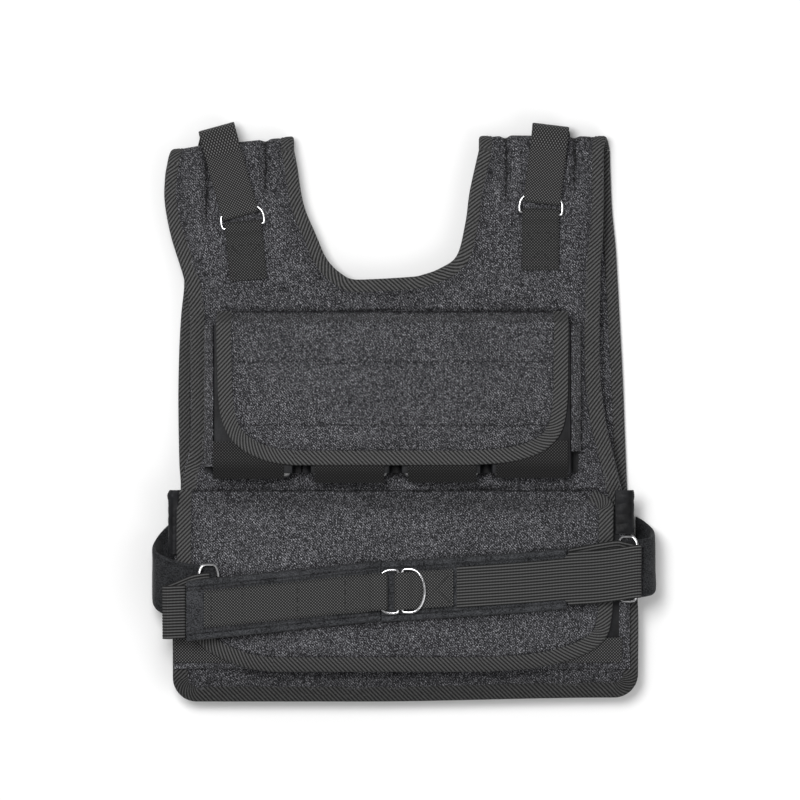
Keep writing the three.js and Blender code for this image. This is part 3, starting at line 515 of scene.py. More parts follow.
def bend(x, y, z):
    # cloth laid out flat past the shoulder line turns round the fold and comes back underneath
    line = foldLine(x)
    radius = z - vest["foldOuter"]
    turn = np.clip((y - line) / vest["foldOuter"], 0, math.pi)
    past = np.maximum(y - line - foldLength, 0)
    newY = np.where(y <= line, y, line + radius * np.sin(turn) - past)
    newZ = np.where(y <= line, z, vest["foldOuter"] + radius * np.cos(turn))
    return plain(x + 0 * newY, newY, newZ)


def leftNormals(line, up=1):
    way = np.gradient(line, axis=0)
    normal = np.stack([-way[:, up], way[:, 0]], axis=1)
    return normal / np.linalg.norm(normal, axis=1, keepdims=True)


def nearestShare(line, point):
    along = lengths(line)
    return along[np.argmin(((line - point) ** 2).sum(axis=1))] / along[-1]


def spread(line, places, shares):
    # points of a line at evenly growing shares, with chosen corners at chosen places
    along = lengths(line) / lengths(line)[-1]
    want = np.interp(np.linspace(0, 1, places[-1] + 1), np.array(places) / places[-1], shares)
    return np.stack([np.interp(want, along, line[:, k]) for k in (0, 1)], axis=1)


panel = {
    "rows": 396, "columns": 92, "tapeEdge": 15.6, "foldRows": 26,
    "cornersAt": (0.40, 0.60), "neckAt": (0.36, 0.64),
    "edgeHalf": 1.9, "softFrom": 9, "softTo": 24, "wave": 0.8, "pucker": 0.8,
    # grooves of the padding's channels: x, from y, to y, depth
    "grooves": [(-200.5, 470, 660, 2.6), (-141.5, 496, 660, 2.3), (99.5, 488, 660, 2.6), (168, 500, 660, 2)],
    # each flap's seam, from x to x, with painted shade along it, and the painted shadow inside the upper
    # pocket, x and y
    "seams": ((upperPocket, -186, 160), (lowerPocket, -226, 196)),
    "inside": (-191, 166, 223, 378),
    "crease": {"x": -121, "y": 413.5, "slope": 0.14, "long": 19, "wide": 2.6, "depth": 1.3},
}


def loft(outer, neck, rows, columns):
    # a grid that fans from the neck's edge to the outer edge
    a, b = panel["cornersAt"]
    c, d = panel["neckAt"]
    half = vest["width"] / 2
    outerShares = [0, nearestShare(outer, (-half + 7, 7)), nearestShare(outer, (half - 7, 11)), 1]
    neckShares = [0, nearestShare(neck, (-75, 443)), nearestShare(neck, (51, 447)), 1]
    rim = spread(outer, [0, round(a * rows), round(b * rows), rows], outerShares)
    collar = spread(neck, [0, round(c * rows), round(d * rows), rows], neckShares)
    even = np.linspace(0, 1, columns)
    share = (0.5 - 0.5 * np.cos(math.pi * even)) * 0.5 + even * 0.5
    share = 0.006 + share * 0.988
    return mix(collar[:, None, :], rim[:, None, :], share[None, :, None]), share


def paddedTop(x, y, gap, along, top, middle, seed):
    # height of a padded face: thin at its edges, soft inside, with seam puckers
    half = panel["edgeHalf"]
    z = middle + half + (top - middle - half) * ease((gap - panel["softFrom"]) / panel["softTo"])
    z = z + panel["wave"] * (rumple(x, y, 46, seed) - 0.7) * ease((gap - 14) / 20)
    z = z + 0.22 * rumple(x, y, 13, seed + 1) * ease((gap - 14) / 20)
    pucker = rumple(along, gap * 0.35, 7.5, seed + 2) * bump(gap - 19, 13)
    return z + panel["pucker"] * pucker


def nearHem(y):
    # the cloth darkens towards the hem, as in the photo
    return 0.42 * ease((60 - y) / 46)


def panelGrid(outer, neck, backOuter, rows, columns, foldRows):
    main, share = loft(outer, neck, rows, columns)
    reach = np.linspace(foldLength, 0, foldRows + 1)[:-1]

    def fold(row, backCorner, distances):
        made = []
        for distance in distances:
            t = distance / foldLength
            corner = mix(row[-1, 0], backCorner[0], t)
            x = mix(row[0, 0], corner, share)
            made.append(np.stack([x, foldLine(x) + distance], axis=1))
        return np.array(made)
    parts = [main]
    if foldRows:
        parts = [fold(main[0], backOuter[0], reach), main, fold(main[-1], backOuter[-1], reach[::-1])]
    return np.concatenate(parts)


def frontPanel():
    grid = panelGrid(frontEdge, neckEdge, backEdge, panel["rows"], panel["columns"], panel["foldRows"])
    x, y = grid[..., 0], grid[..., 1]
    line = foldLine(x)
    folded = y > line
    low = np.minimum(y, line)
    gap = np.minimum(awayFrom(x, low, resample(frontEdge, 900)), awayFrom(x, low, resample(neckEdge, 400)))
    along = np.broadcast_to(np.arange(len(grid))[:, None] * 3.1, x.shape)
    z = paddedTop(x, y, gap, along, vest["top"], frontMiddle, 11)
    # painted shade: a dark line where the tape meets the cloth, and a soft dark band beside the tapes
    shade = np.maximum(0.5 * bump(gap - panel["tapeEdge"], 2.4), 0.24 * ease((31 - gap) / 16))
    for place, start, end, depth in panel["grooves"]:
        sway = x - place - 1.6 * np.sin((y - start) / 31)
        reach = ease((y - start) / 26) * ease((end - y) / 20)
        z = z - depth * bump(sway, 6.5) * reach
        # painted shade in each groove
        shade = np.maximum(shade, np.maximum(1.15 * bump(sway, 3.0), 0.36 * bump(sway, 10)) * reach)
    # painted shade along each flap's seam
    for pocket, left, right in panel["seams"]:
        seam = 1.1 * bump(y - pocket["top"] - 0.6, 3.0) * ease((x - left) / 4) * ease((right - x) / 4)
        shade = np.maximum(shade, seam)
    # painted shadow inside the upper pocket, seen in the gaps between the pouches
    left, right, low, high = panel["inside"]
    inside = ease((x - left) / 5) * ease((right - x) / 5) * ease((y - low) / 7) * ease((high - y) / 7)
    shade = np.maximum(shade, 1.25 * inside)
    shade = np.maximum(shade, nearHem(y))
    crease = panel["crease"]
    awayX, awayY = x - crease["x"], y - crease["y"] - crease["slope"] * (x - crease["x"])
    chestCrease = np.hypot(awayX / crease["long"], awayY / crease["wide"])
    z = z - crease["depth"] * bump(chestCrease, 1) * (1 - folded)
    # painted shade in the chest crease
    shade = np.maximum(shade, 0.8 * bump(chestCrease, 1) * (1 - folded))
    z = np.minimum(z, vest["top"] + 0.15)
    under = 2 * frontMiddle - paddedTop(x, y, gap, along, vest["top"] - 0.2, frontMiddle, 21)
    top, bottom = bend(x, y, z), bend(x, y, under)
    piece = shellPiece("front_panel_cloth", top, bottom, denim, ["front_panel"], shade=shade)


def backPanel():
    rows, columns = 200, 38
    grid = panelGrid(backEdge, neckEdge, backEdge, rows, columns, 0)
    x, y = grid[..., 0], np.minimum(grid[..., 1], foldLine(grid[..., 0]) - 0.4)
    gap = np.minimum(awayFrom(x, y, resample(backEdge, 900)), awayFrom(x, y, resample(neckEdge, 400)))
    along = np.broadcast_to(np.arange(len(grid))[:, None] * 6.8, x.shape)
    z = paddedTop(x, y, gap, along, vest["padding"], backMiddle, 31)
    lowest = vest["padding"] - np.minimum(paddedTop(x, y, gap, along, 8.6, backMiddle, 41), vest["padding"])
    top, bottom = plain(x, y, z), plain(x, y, lowest)
    piece = shellPiece("back_panel_cloth", top, bottom, denim, ["back_panel"])


frontPanel()
backPanel()
print("panels made")

tape = {
    "dusk": 1.3, "half": 2.8, "narrow": 12, "wide": 15.2, "rib": 0.36, "pitch": 4.4, "step": 0.95,
    "across": 15,
}


def tapeRise(width):
    # depth inwards, and rise of the top face: rounded outside, stitched down near the inner edge
    w = np.linspace(0, 1, tape["across"]) ** 1.15 * width
    rise = tape["half"] * np.sqrt(np.clip(1 - (1 - np.clip(w / 4.2, 0, 1)) ** 2.4, 0, 1))
    rise = rise - 0.55 * bump(w - (width - 2.4), 1.5) - 0.7 * ease((w - width + 1.0) / 1.0)
    return w, rise


def tapeRib(along, w):
    # slanted ribs that fade out at the tape's outer edge
    return tape["rib"] * np.sin(2 * math.pi * (along + w) / tape["pitch"]) * np.minimum(w / 1.5, 1)


def foldedTape(along, w, rise):
    # heights of the ribbed top face and of the plain bottom face
    lumps = 0.25 * math.sin(along / 9.0) * math.sin(along / 23.0 + 1)
    high = np.maximum(rise, 0.05) + tapeRib(along, w) + lumps * np.minimum(w / 3, 1)
    return high, -np.maximum(rise[::-2][:-1], 0.05)


def bindingRings(chain, normals, width, place, heights=foldedTape, deep=1):
    # rings round a folded tape, the top face first, and their places in its weave
    along = lengths(chain)
    wide = np.broadcast_to(width, along.shape)
    rings, woven = [], []
    for i, point in enumerate(chain):
        w, rise = tapeRise(wide[i])
        z = np.concatenate(heights(along[i], w, rise))
        depth = np.concatenate([w, w[::-2][:-1]])
        x = point[0] + normals[i, 0] * depth
        y = point[1] + normals[i, 1] * depth
        rings.append(place(x, y, z))
        woven.append(plain(along[i] + 0 * depth, depth, z * deep))
    return np.array(rings), np.array(woven)


def evenly(line, step):
    return resample(line, max(8, int(lengths(line)[-1] / step)))


def edgeBindings():
    def over(front, back, reverse):
        t = np.linspace(0, 1, 50)[1:]
        x = mix(front[0], back[0], t)
        made = np.stack([x, foldLine(x) + foldLength * t], axis=1)
        return made[::-1] if reverse else made
    start, end = over(frontEdge[0], backEdge[0], True), over(frontEdge[-1], backEdge[-1], False)
    chain = evenly(np.concatenate([start, frontEdge, end]), tape["step"])
    normals = leftNormals(chain)
    past = chain[:, 1] > foldLine(chain[:, 0])
    normals[past] = np.stack([np.where(chain[past, 0] < 0, 1, -1), np.zeros(past.sum())], axis=1)
    width = tape["narrow"] + (tape["wide"] - tape["narrow"]) * ease((505 - chain[:, 1]) / 90)
    rings, woven = bindingRings(chain, normals, width, lambda x, y, z: bend(x, y, frontMiddle + z))
    ringPiece("front_edge_tape", rings, twillTape, ["front_edge_binding"], weave=woven,
              shade=tape["dusk"] * nearHem(rings[..., 1]))
    back = evenly(backEdge, tape["step"] * 3)
    back[:, 1] = np.minimum(back[:, 1], foldLine(back[:, 0]) - 0.4)
    flat = lambda x, y, z: plain(x, y, backMiddle + z)
    rings, woven = bindingRings(back, leftNormals(back), tape["narrow"], flat)
    ringPiece("back_edge_tape", rings, twillTape, ["back_edge_binding"], weave=woven)


def neckTape():
    # one closed loop: the front neck edge, over one shoulder, the back neck edge, over the other
    front = evenly(neckEdge[::-1], tape["step"])
    normals = leftNormals(front)
    width = tape["narrow"] + 0.8
    rings, woven = bindingRings(front, normals, width, lambda x, y, z: bend(x, y, frontMiddle + z))
    under, _ = bindingRings(front[::-1], normals[::-1], width, lambda x, y, z: plain(x, y, backMiddle - z))

    def over(corner, side, distances):
        chain = np.stack([np.full(len(distances), corner[0]), foldLine(corner[0]) + distances], axis=1)
        sides = np.tile([[side, 0.0]], (len(distances), 1))
        return bindingRings(chain, sides, width, lambda x, y, z: bend(x, y, frontMiddle + z))
    steps = np.linspace(0, foldLength, 46)[1:-1]
    leftOver, leftWoven = over(front[-1], -1, steps)
    rightOver, rightWoven = over(front[0], 1, steps[::-1])
    loop = np.concatenate([rings, leftOver, under, rightOver])
    wovenLoop = np.concatenate([woven, leftWoven, woven, rightWoven])
    ringPiece("neck_tape", loop, twillTape, ["neck_binding"], weave=wovenLoop, closed=True)


edgeBindings()
neckTape()
print("bindings made")

# Flap edges: share of the drop, then of the width on the left and on the right
flapEdges = {
    "upper": [
        (0, 0, 1), (0.08, 0, 1), (0.16, 0, 1), (0.35, 0.002, 0.999), (0.55, 0.005, 0.998),
        (0.68, 0.012, 0.992), (0.78, 0.027, 0.980), (0.86, 0.052, 0.955), (0.93, 0.095, 0.910),
        (0.98, 0.155, 0.830), (1, 0.220, 0.720),
    ],
    "lower": [
        (0, 0, 0.955), (0.035, 0, 0.985), (0.08, 0, 1), (0.16, 0, 1), (0.35, 0, 1), (0.55, 0.004, 1),
        (0.70, 0.018, 0.996), (0.81, 0.040, 0.983), (0.89, 0.075, 0.945), (0.95, 0.125, 0.880),
        (0.985, 0.170, 0.800), (1, 0.220, 0.700),
    ],
}
flaps = {
    "rows": 164, "columns": 144, "tapeWidth": 14.5, "seam": 2.3,
    "quilt": (340, 277), "quiltDepth": 1.5, "quiltHalf": 9, "upperLow": 55.0,
    "upperClimb": 13, "lowerClimb": 26,
    # the belt's middle line, x and y
    "beltLine": ((-217, -68, 34, 211), (92, 107.5, 114.5, 128.5)),
}


def upperFlapTop(x, y):
    climb = ease((upperPocket["top"] - y) / flaps["upperClimb"])
    middle = upperPocket["left"] + upperPocket["width"] / 2
    crown = 1.5 * (1 - np.abs((x - middle) / (upperPocket["width"] / 2)) ** 3)
    return mix(vest["top"] + flaps["seam"], flaps["upperLow"] + 2 + np.maximum(0, crown), climb)


def lowerFlapTop(x, y):
    climb = ease((lowerPocket["top"] - y) / flaps["lowerClimb"])
    middle = lowerPocket["left"] + lowerPocket["width"] / 2
    u = np.minimum(1, np.abs((x - middle) / (lowerPocket["width"] / 2)))
    side = lowerPocket["height"] - lowerPocket["edge"] * u**5
    drop = lowerPocket["drop"]
    bottom = 7 * ease((y - lowerPocket["top"] + 0.78 * drop) / (-0.22 * drop))
    return mix(vest["top"] + flaps["seam"], vest["top"] + 2 + side - bottom, climb)


def flapSides(name, pocket, count):
    table = np.array(flapEdges[name])
    y = pocket["top"] - table[:, 0] * pocket["drop"]
    left = curve(np.stack([pocket["left"] + table[:, 1] * pocket["width"], y], 1), count)
    right = curve(np.stack([pocket["left"] + table[:, 2] * pocket["width"], y], 1), count)
    return left, right


def flapCloth(name, pocket, top, relief):
    left, right = flapSides(name, pocket, flaps["rows"])
    inside = flaps["tapeWidth"] - 4.5
    left = left + leftNormals(left) * inside
    right = right - leftNormals(right) * inside
    for line in (left, right):
        line[:, 1] = np.maximum(line[:, 1], pocket["top"] - pocket["drop"] + inside)
        line[:, 1] += (pocket["top"] - line[0, 1]) * np.linspace(1, 0, len(line)) ** 6
    share = np.linspace(0, 1, flaps["columns"])[None, :, None]
    grid = mix(left[:, None, :], right[:, None, :], share)
    x, y = grid[..., 0], grid[..., 1]
    rim = np.concatenate([left, right[::-1]])
    gap = awayFrom(x, y, resample(rim, 700))
    base = top(x, y)
    shape, dark = relief(x, y, gap)
    z = base - 0.75 + 0.75 * ease((gap - 2) / 9) + shape
    low = np.minimum(base - 2.0, z - 1.1)
    # painted shade: a dark line along the tape's inner edge, and along the flap's top seam
    dark = np.maximum(dark, 0.55 * bump(gap - 5.2, 2.2))
    dark = np.maximum(dark, 1.1 * bump(y - pocket["top"] + 0.3, 3.0))
    top, under = plain(x, y, z), plain(x, y, low)
    return shellPiece(name + "_flap_cloth", top, under, denim, [name + "_flap"], shade=dark)


def flapTapeHeights(along, w, rise):
    lumps = 0.3 * math.sin(along / 11.0) * math.sin(along / 27.0 + 2)
    high = -0.9 + 0.62 * np.maximum(rise, 0) + tapeRib(along, w) + lumps
    high[0] = -1.4
    return high, -2.0 + 0 * w[::-2][:-1]


def flapTape(name, pocket, top):
    left, right = flapSides(name, pocket, 260)
    chain = evenly(np.concatenate([left, right[::-1]]), tape["step"])
    rings, woven = bindingRings(chain, leftNormals(chain), flaps["tapeWidth"],
                                lambda x, y, z: plain(x, y, top(x, y) + z), flapTapeHeights, 0)
    ringPiece(name + "_flap_tape", rings, twillTape, [name + "_flap_binding"], weave=woven,
              shade=tape["dusk"] * nearHem(rings[..., 1]))


def upperRelief(x, y, gap):
    # two quilting seams across, soft fields between them, and short pulls at the seams; each seam line and
    # the rim are darkened as painted shade
    z = 1.1 * ease(gap / 26) + 0.5 * rumple(x, y, 34, 51) * ease(gap / 14) + 0.18 * rumple(x, y, 9, 52)
    dark = 0 * x
    for seam in flaps["quilt"]:
        away = y - seam - 0.7 * rumple(x, y * 0, 60, 53)
        sunk = 0.45 * np.exp(-np.abs(away) / 1.3) + 0.55 * bump(away, flaps["quiltHalf"])
        z = z - flaps["quiltDepth"] * sunk
        z = z + 0.5 * rumple(x, y * 0.3, 6.5, 54) * bump(away, 15)
        dark = np.maximum(dark, (0.62 + 0.3 * rumple(x, 0 * y, 3.2, 55)) * bump(away, 1.9))
    return z, np.maximum(dark, 0.2 * ease((16 - gap) / 12))


def underBelt(x, y):
    # the belt's shadow on the flap, along its two edges
    line = np.interp(x, *flaps["beltLine"])
    return np.maximum(0.55 * bump(y - line + 28, 14), 0.3 * bump(y - line - 30, 8))


def lowerRelief(x, y, gap):
    z = 1.2 * rumple(x * 0.6, y, 34, 61) * ease(gap / 16) + 0.25 * rumple(x, y, 10, 62)
    return z + 0.9 * rumple(x, gap * 0.4, 9, 63) * bump(gap - 8, 14), underBelt(x, y)


upperCloth = flapCloth("upper", upperPocket, upperFlapTop, upperRelief)
flapTape("upper", upperPocket, upperFlapTop)
lowerCloth = flapCloth("lower", lowerPocket, lowerFlapTop, lowerRelief)
flapTape("lower", lowerPocket, lowerFlapTop)
print("flaps made")


# Straps and bands: a section carried along a path, x along it, y its middle line, z its height
def webSection(v, half, thick):
    edge = np.abs(v) / half
    rounded = 1 - 0.45 * np.clip((edge - 0.93) / 0.07, 0, 1) ** 2
    return thick / 2 * rounded + 0.12 * bump(np.abs(v) - half + 2.4, 1.6)


def edgeDark(along, v, wide):
    # painted shade along both edges of the strap
    return 0.5 * bump(np.abs(v) - wide, 1.8)


def bandPiece(name, path, half, thick, material, node, place=plain, section=webSection,
              step=1.4, cross=1.6, wave=0.12, seed=1, dark=edgeDark):
    path = np.asarray(path, float)
    path = resample(path, max(12, int(lengths(path)[-1] / step)))
    along = lengths(path)
    normal = leftNormals(path, 2)
    halves = [half(point) if callable(half) else half for point in path]
    count = max(8, int(2 * max(halves) / cross))
    rings, woven, shades = [], [], []
    for i, (point, wide) in enumerate(zip(path, halves)):
        v = np.concatenate([np.linspace(-wide, wide, count), np.linspace(wide, -wide, count // 2)])
        upper = np.concatenate([np.ones(count), -np.ones(count // 2)])
        rise = upper * section(v, wide, thick)
        rise = rise + wave * rumple(np.full(len(v), along[i]), v, 17, seed)
        x = point[0] + normal[i, 0] * rise
        z = point[2] + normal[i, 1] * rise
        rings.append(place(x, point[1] + v, z))
        woven.append(plain(np.full(len(v), along[i]), v, rise * 0))
        shades.append(dark(along[i], v, wide))
    return ringPiece(name, rings, material, [node], weave=woven, shade=shades)


def strapPiece(name, path, node, **more):
    return bandPiece(name, path, webbing["half"], webbing["thick"], webbingCloth, node, **more)


def halfTurn(x, y, z, radius, way, count=14):
    # from the lower layer to the upper one, round a wire
    turn = np.linspace(0, math.pi, count)
    return plain(x - way * radius * np.sin(turn), y + 0 * turn, z - radius * np.cos(turn))


def looped(under, at, way, over, counts):
    # a strap's path: in under the wire, round it and back on top
    under, over = curve(under, counts[0])[:-1], curve(over, counts[1])
    return np.concatenate([under, halfTurn(*at, belt["strapTurn"], way), over])


def stitchRows(name, rows):
    # short raised threads along lines of points that lie on the cloth
    long, gap, thick = stitch["long"], stitch["gap"], stitch["thick"]
    points, faces = [], []
    shares = [(-1, 0.15), (-0.72, 0.85), (0, 1.0), (0.72, 0.85), (1, 0.15)]
    for row in rows:
        row = np.asarray(row, float)
        along = lengths(row)
        middles = np.arange(long / 2 + 0.4, along[-1] - long / 2, long + gap)
        for middle in middles:
            here = np.array([np.interp(middle, along, row[:, k]) for k in range(3)])
            there = np.array([np.interp(middle + 0.6, along, row[:, k]) for k in range(3)])
            way = there - here
            way /= np.linalg.norm(way) + 1e-9
            side = np.cross(way, (0, 0, 1.0))
            side /= np.linalg.norm(side) + 1e-9
            up = np.cross(side, way)
            first = len(points)
            for place, wide in shares:
                for k in range(6):
                    turn = math.pi * k / 3
                    out = side * math.cos(turn) + up * (math.sin(turn) * 0.8 + 0.15)
                    points.append(here + way * place * long / 2 + out * wide * thick / 2)
            for ring in range(4):
                for k in range(6):
                    a, b = first + ring * 6 + k, first + ring * 6 + (k + 1) % 6
                    faces.append([a, b, b + 6, a + 6])
            faces.append([first + k for k in range(5, -1, -1)])
            faces.append([first + 24 + k for k in range(6)])
    return makePiece(name, points, faces, thread)


stitch = {"long": 3.0, "gap": 1.3, "thick": 0.75}


def boxAndCross(x0, x1, y0, y1):
    # a sewn box with both diagonals, as lines between corners
    corners = [(x0, y0), (x1, y0), (x1, y1), (x0, y1)]
    lines = [corners + corners[:1], [corners[0], corners[2]], [corners[1], corners[3]]]
    return [np.concatenate([np.linspace(a, b, 24) for a, b in zip(line, line[1:])]) for line in lines]


# Upper pocket: four iron bars, their nylon sleeves, and a webbing band across each open end
pouches = {
    "middles": (0.104, 0.379, 0.638, 0.895),
    "bands": ((-0.010, 0.191, 0.9675), (0.279, 0.476, 0.995), (0.544, 0.738, 0.990), (0.795, 0.998, 0.962)),
    "barHalf": (38, 74), "cornerRadius": 7, "edgeRadius": 2.2,
    "sleeveTop": 377.1, "sleeveHalf": 74, "gap": 0.3, "foot": 8,
}


def bar(number, middle):
    halfX, halfY = pouches["barHalf"]
    y = pouches["sleeveTop"] - pouches["sleeveHalf"] - 5
    low = vest["top"] + pouches["gap"]
    turn = np.linspace(0, 2 * math.pi, 64, endpoint=False)
    corner, edge = pouches["cornerRadius"], pouches["edgeRadius"]
    rings = []
    quarterTurn = np.linspace(0, math.pi / 2, 7)
    levels = [(angle, edge) for angle in -quarterTurn[::-1]]
    levels += [(angle, upperPocket["bar"] - edge) for angle in quarterTurn]
    for angle, up in levels:
        z = low + up + edge * math.sin(angle)
        r = corner - edge * (1 - math.cos(angle))
        x = np.sign(np.cos(turn)) * (halfX - corner) + r * np.cos(turn)
        yy = np.sign(np.sin(turn)) * (halfY - corner) + r * np.sin(turn)
        rings.append(plain(middle + x, y + yy, z + 0 * x))
    ringPiece(f"iron_bar_{number}", rings, iron, [f"weight_bar_{number}"])


def sleeve(number, middle):
    half = pouches["barHalf"][0] + 1.3
    low, high = vest["top"] + pouches["gap"], vest["top"] + upperPocket["bar"] + 1.6
    corner = 3.2
    side = [(half, low), (half + 0.25, mix(low, high, 0.5)), (half, high - corner),
            (half - 0.3 * corner, high - 0.3 * corner), (half - corner, high)]
    side = [(half + pouches["foot"], low + 0.7), (half + 2, low + 0.5)] + side
    path = [(middle - a, 0, b) for a, b in side] + [(middle, 0, high + 0.25)]
    path = curve(path + [(middle + a, 0, b) for a, b in side[::-1]], 76)
    normal = leftNormals(path, 2)
    y = np.linspace(-pouches["sleeveHalf"], pouches["sleeveHalf"], 50)[:, None]
    s = lengths(path)[None, :]
    fold = 0.28 * rumple(s, y * 0.5, 9, 70 + number) + 0.3 * bump(y + pouches["sleeveHalf"] - 2, 2.5)
    faces = []
    for thick in (0.45, -0.45):
        x = path[None, :, 0] + normal[None, :, 0] * (fold + thick)
        z = path[None, :, 2] + normal[None, :, 1] * (fold + thick)
        z = np.maximum(z, low)
        faces.append(plain(x, y + pouches["sleeveTop"] - pouches["sleeveHalf"] + 0 * x, z))
    piece = shellPiece(f"nylon_sleeve_{number}", *faces, thinNylon, [f"upper_pouch_{number}"])


def pouchBand(number, start, end, drop):
    x = upperPocket["left"] + upperPocket["width"] * np.array([start, end])
    y = upperPocket["top"] - drop * upperPocket["drop"]
    z = vest["top"] + upperPocket["bar"] + 3.8
    path = [(mix(x[0], x[1], t), y, z - 0.35 * abs(2 * t - 1) ** 3) for t in np.linspace(0, 1, 9)]
    # painted shade under the flap: the band is darkened all over, most towards its lower edge
    strapPiece(f"pouch_webbing_{number}", curve(path), f"pouch_band_{number}", seed=80 + number,
               dark=lambda along, v, wide: 0.75 + 0.40 * ease((4 - v) / 16))


for number, (share, band) in enumerate(zip(pouches["middles"], pouches["bands"]), 1):
    middle = upperPocket["left"] + share * upperPocket["width"]
    bar(number, middle)
    sleeve(number, middle)
    pouchBand(number, *band)
print("upper pocket filled")

gussets = {
    "thick": 1.8, "out": 12,
    "shares": {"left": 0.92, "right": 0.82}, "head": {"left": 4.2, "right": 3.8},
}


def gusset(side, way):
    # denim side wall: leans from the panel up to the outer pouch, with a rumpled free edge
    edge = upperPocket["left"] + (upperPocket["width"] if way > 0 else 0)
    length = gussets["shares"][side] * upperPocket["drop"]
    t = np.linspace(0, 1, 22)[None, :]
    y = np.linspace(pouches["sleeveTop"], pouches["sleeveTop"] - length, 130)[:, None]
    bulge = 2.2 * np.sin(math.pi * t) + 1.0 * rumple(y, t * 9, 12, 91) * np.sin(math.pi * t)
    x = edge + way * (mix(gussets["out"], gussets["head"][side], t) + bulge) + 0 * y
    z = mix(vest["top"] + 0.8, vest["top"] + upperPocket["bar"] + 1.5, t)
    z = z + 0.8 * rumple(y, 0 * y, 15, 92) * t
    half = gussets["thick"] / 2
    outer, inner = plain(x + way * half, y + 0 * x, z + 0.3), plain(x - way * half, y + 0 * x, z - 0.3)
    piece = shellPiece(f"pocket_side_{side}", outer, inner, denim, [f"upper_gusset_{side}"])


gusset("left", -1)
gusset("right", 1)

# Lower pocket, open towards the shoulders, with a webbing band sewn across it
pouch = {
    "left": lowerPocket["left"] - 3, "right": lowerPocket["left"] + lowerPocket["width"] + 17,
    "top": lowerPocket["top"] - 22, "low": 33, "room": 4.2, "band": 25, "bandAt": 52, "strip": 11,
    "nylonFrom": 150,
}


def quarter(t):
    return np.sqrt(1 - (1 - np.clip(t, 0, 1)) ** 2)


def lowerPocketTop(x, y):
    side = np.minimum(quarter((x - pouch["left"]) / 10), quarter((pouch["right"] - x) / 11))
    low = vest["top"] + 2.3
    high = lowerFlapTop(x, y) - 2.3 - pouch["room"]
    return mix(low, high, side * quarter((y - pouch["low"]) / 14))


def lowerPouch():
    t = np.linspace(0, 1, 170)
    t = np.where(t < 0.5, 0.5 * (2 * t) ** 1.35, 1 - 0.5 * (2 - 2 * t) ** 1.35)[None, :]
    d = (1 - (1 - np.linspace(0, 1, 64)) ** 1.5)[:, None]
    x = mix(pouch["left"], pouch["right"], t) + 0 * d
    y = mix(pouch["top"], pouch["low"], d) + 0 * t
    flat = lowerPocketTop(x, y)
    lift = np.clip((flat - vest["top"] - 2) / 12, 0, 1)
    z = flat + lift * (0.5 * rumple(x, y, 22, 101) + 0.25 * rumple(x, y, 8, 102))
    inX = x + 1.8 * np.where(t < 0.5, bump(t, 0.02), -bump(1 - t, 0.02))
    low = np.maximum(vest["top"] + 0.3, z - 1.8)
    inY = y + 1.6 * bump(1 - d, 0.06)
    piece = shellPiece("lower_pocket_cloth", plain(x, y, z), plain(inX, inY, low), denim, ["lower_pocket"])
    piece.data.materials.append(thinNylon)
    middles = (x[:-1, :-1] + x[1:, 1:]) / 2
    rows = (y[:-1, :-1] + y[1:, 1:]) / 2
    nylonFace = (middles > pouch["nylonFrom"]) & (middles < pouch["right"] - pouch["strip"])
    nylonFace = (nylonFace & (rows > pouch["bandAt"])).ravel()
    for face, isNylon in zip(piece.data.polygons, nylonFace):
        face.material_index = int(isNylon)


def lowerBand():
    t = np.linspace(0, 1, 200)
    t = np.where(t < 0.5, 0.5 * (2 * t) ** 1.4, 1 - 0.5 * (2 - 2 * t) ** 1.4)
    x = mix(pouch["left"], pouch["right"] - 8, t)
    y = pouch["bandAt"]
    v = np.linspace(-pouch["band"] / 2, pouch["band"] / 2, 18)[None, :]
    gx, gy = x[:, None] + 0 * v, y + v + 0 * x[:, None]
    base = lowerPocketTop(gx, gy) + 0.9
    shellPiece("pocket_webbing", plain(gx, gy, base + 1.7), plain(gx, gy, base), webbingCloth,
               ["lower_pocket_band"], weave=plain(gx, gy, 0 * gx))


lowerPouch()
lowerBand()

gathers = {
    "left": {
        "length": 64, "pitch": 8.5, "depth": 0.5, "knob": 2.6,
        "section": [(-4.5, 11.3), (0.5, 11.6), (4.6, 8.2), (5.4, 4.5), (4.2, 1.2)],
    },
    "right": {
        "length": 44, "pitch": 9.5, "depth": 1.2, "knob": 1.2,
        "section": [(-15, 11.3), (-7, 11.8), (0, 10.8), (3.6, 6.5), (3.4, 1.2)],
    },
    "thick": 0.7,
}


def gather(side, way):
    # thin nylon drawn up along its seam, so that it puckers
    facts = gathers[side]
    edge = pouch["left"] if way < 0 else pouch["right"]
    section = curve(facts["section"], 20)
    y = np.linspace(lowerPocket["top"], lowerPocket["top"] - facts["length"], 130)[:, None]
    out, up = section[None, :, 0] + 0 * y, section[None, :, 1] + 0 * y
    t = np.linspace(0, 1, 20)[None, :]
    turn = y / facts["pitch"] + 0.5 * rumple(y, t * 6, 14, 111)
    folds = np.abs(np.sin(math.pi * turn)) ** 0.7 - 0.6
    folds = folds * np.sin(math.pi * np.clip(t, 0.06, 1)) + 0.4 * rumple(y, t * 16, 5, 112)
    folds = facts["depth"] * folds
    knob = facts["knob"] * bump(y - lowerPocket["top"] + 6, 6) * np.sin(math.pi * t)
    closing = 0.35 + 0.65 * quarter((lowerPocket["top"] + 0.3 - y) / 7)
    x = edge + way * (np.minimum(out, 2) + np.maximum(out - 2, 0) * closing + 0.55 * (folds + knob))
    z = np.maximum(vest["top"] + up + 0.8 * (folds + knob) * (1 - 0.6 * t), vest["top"] + 0.8)
    half = gathers["thick"] / 2
    outer, inner = plain(x + way * half, y + 0 * x, z + half), plain(x - way * half, y + 0 * x, z - half)
    piece = shellPiece(f"gathered_nylon_{side}", outer, inner, thinNylon, [f"side_gather_{side}"])
    flat = (lengths(section)[-1] / 1000, facts["length"] * 1.3 / 1000)


gather("left", -1)
gather("right", 1)
print("lower pocket made")


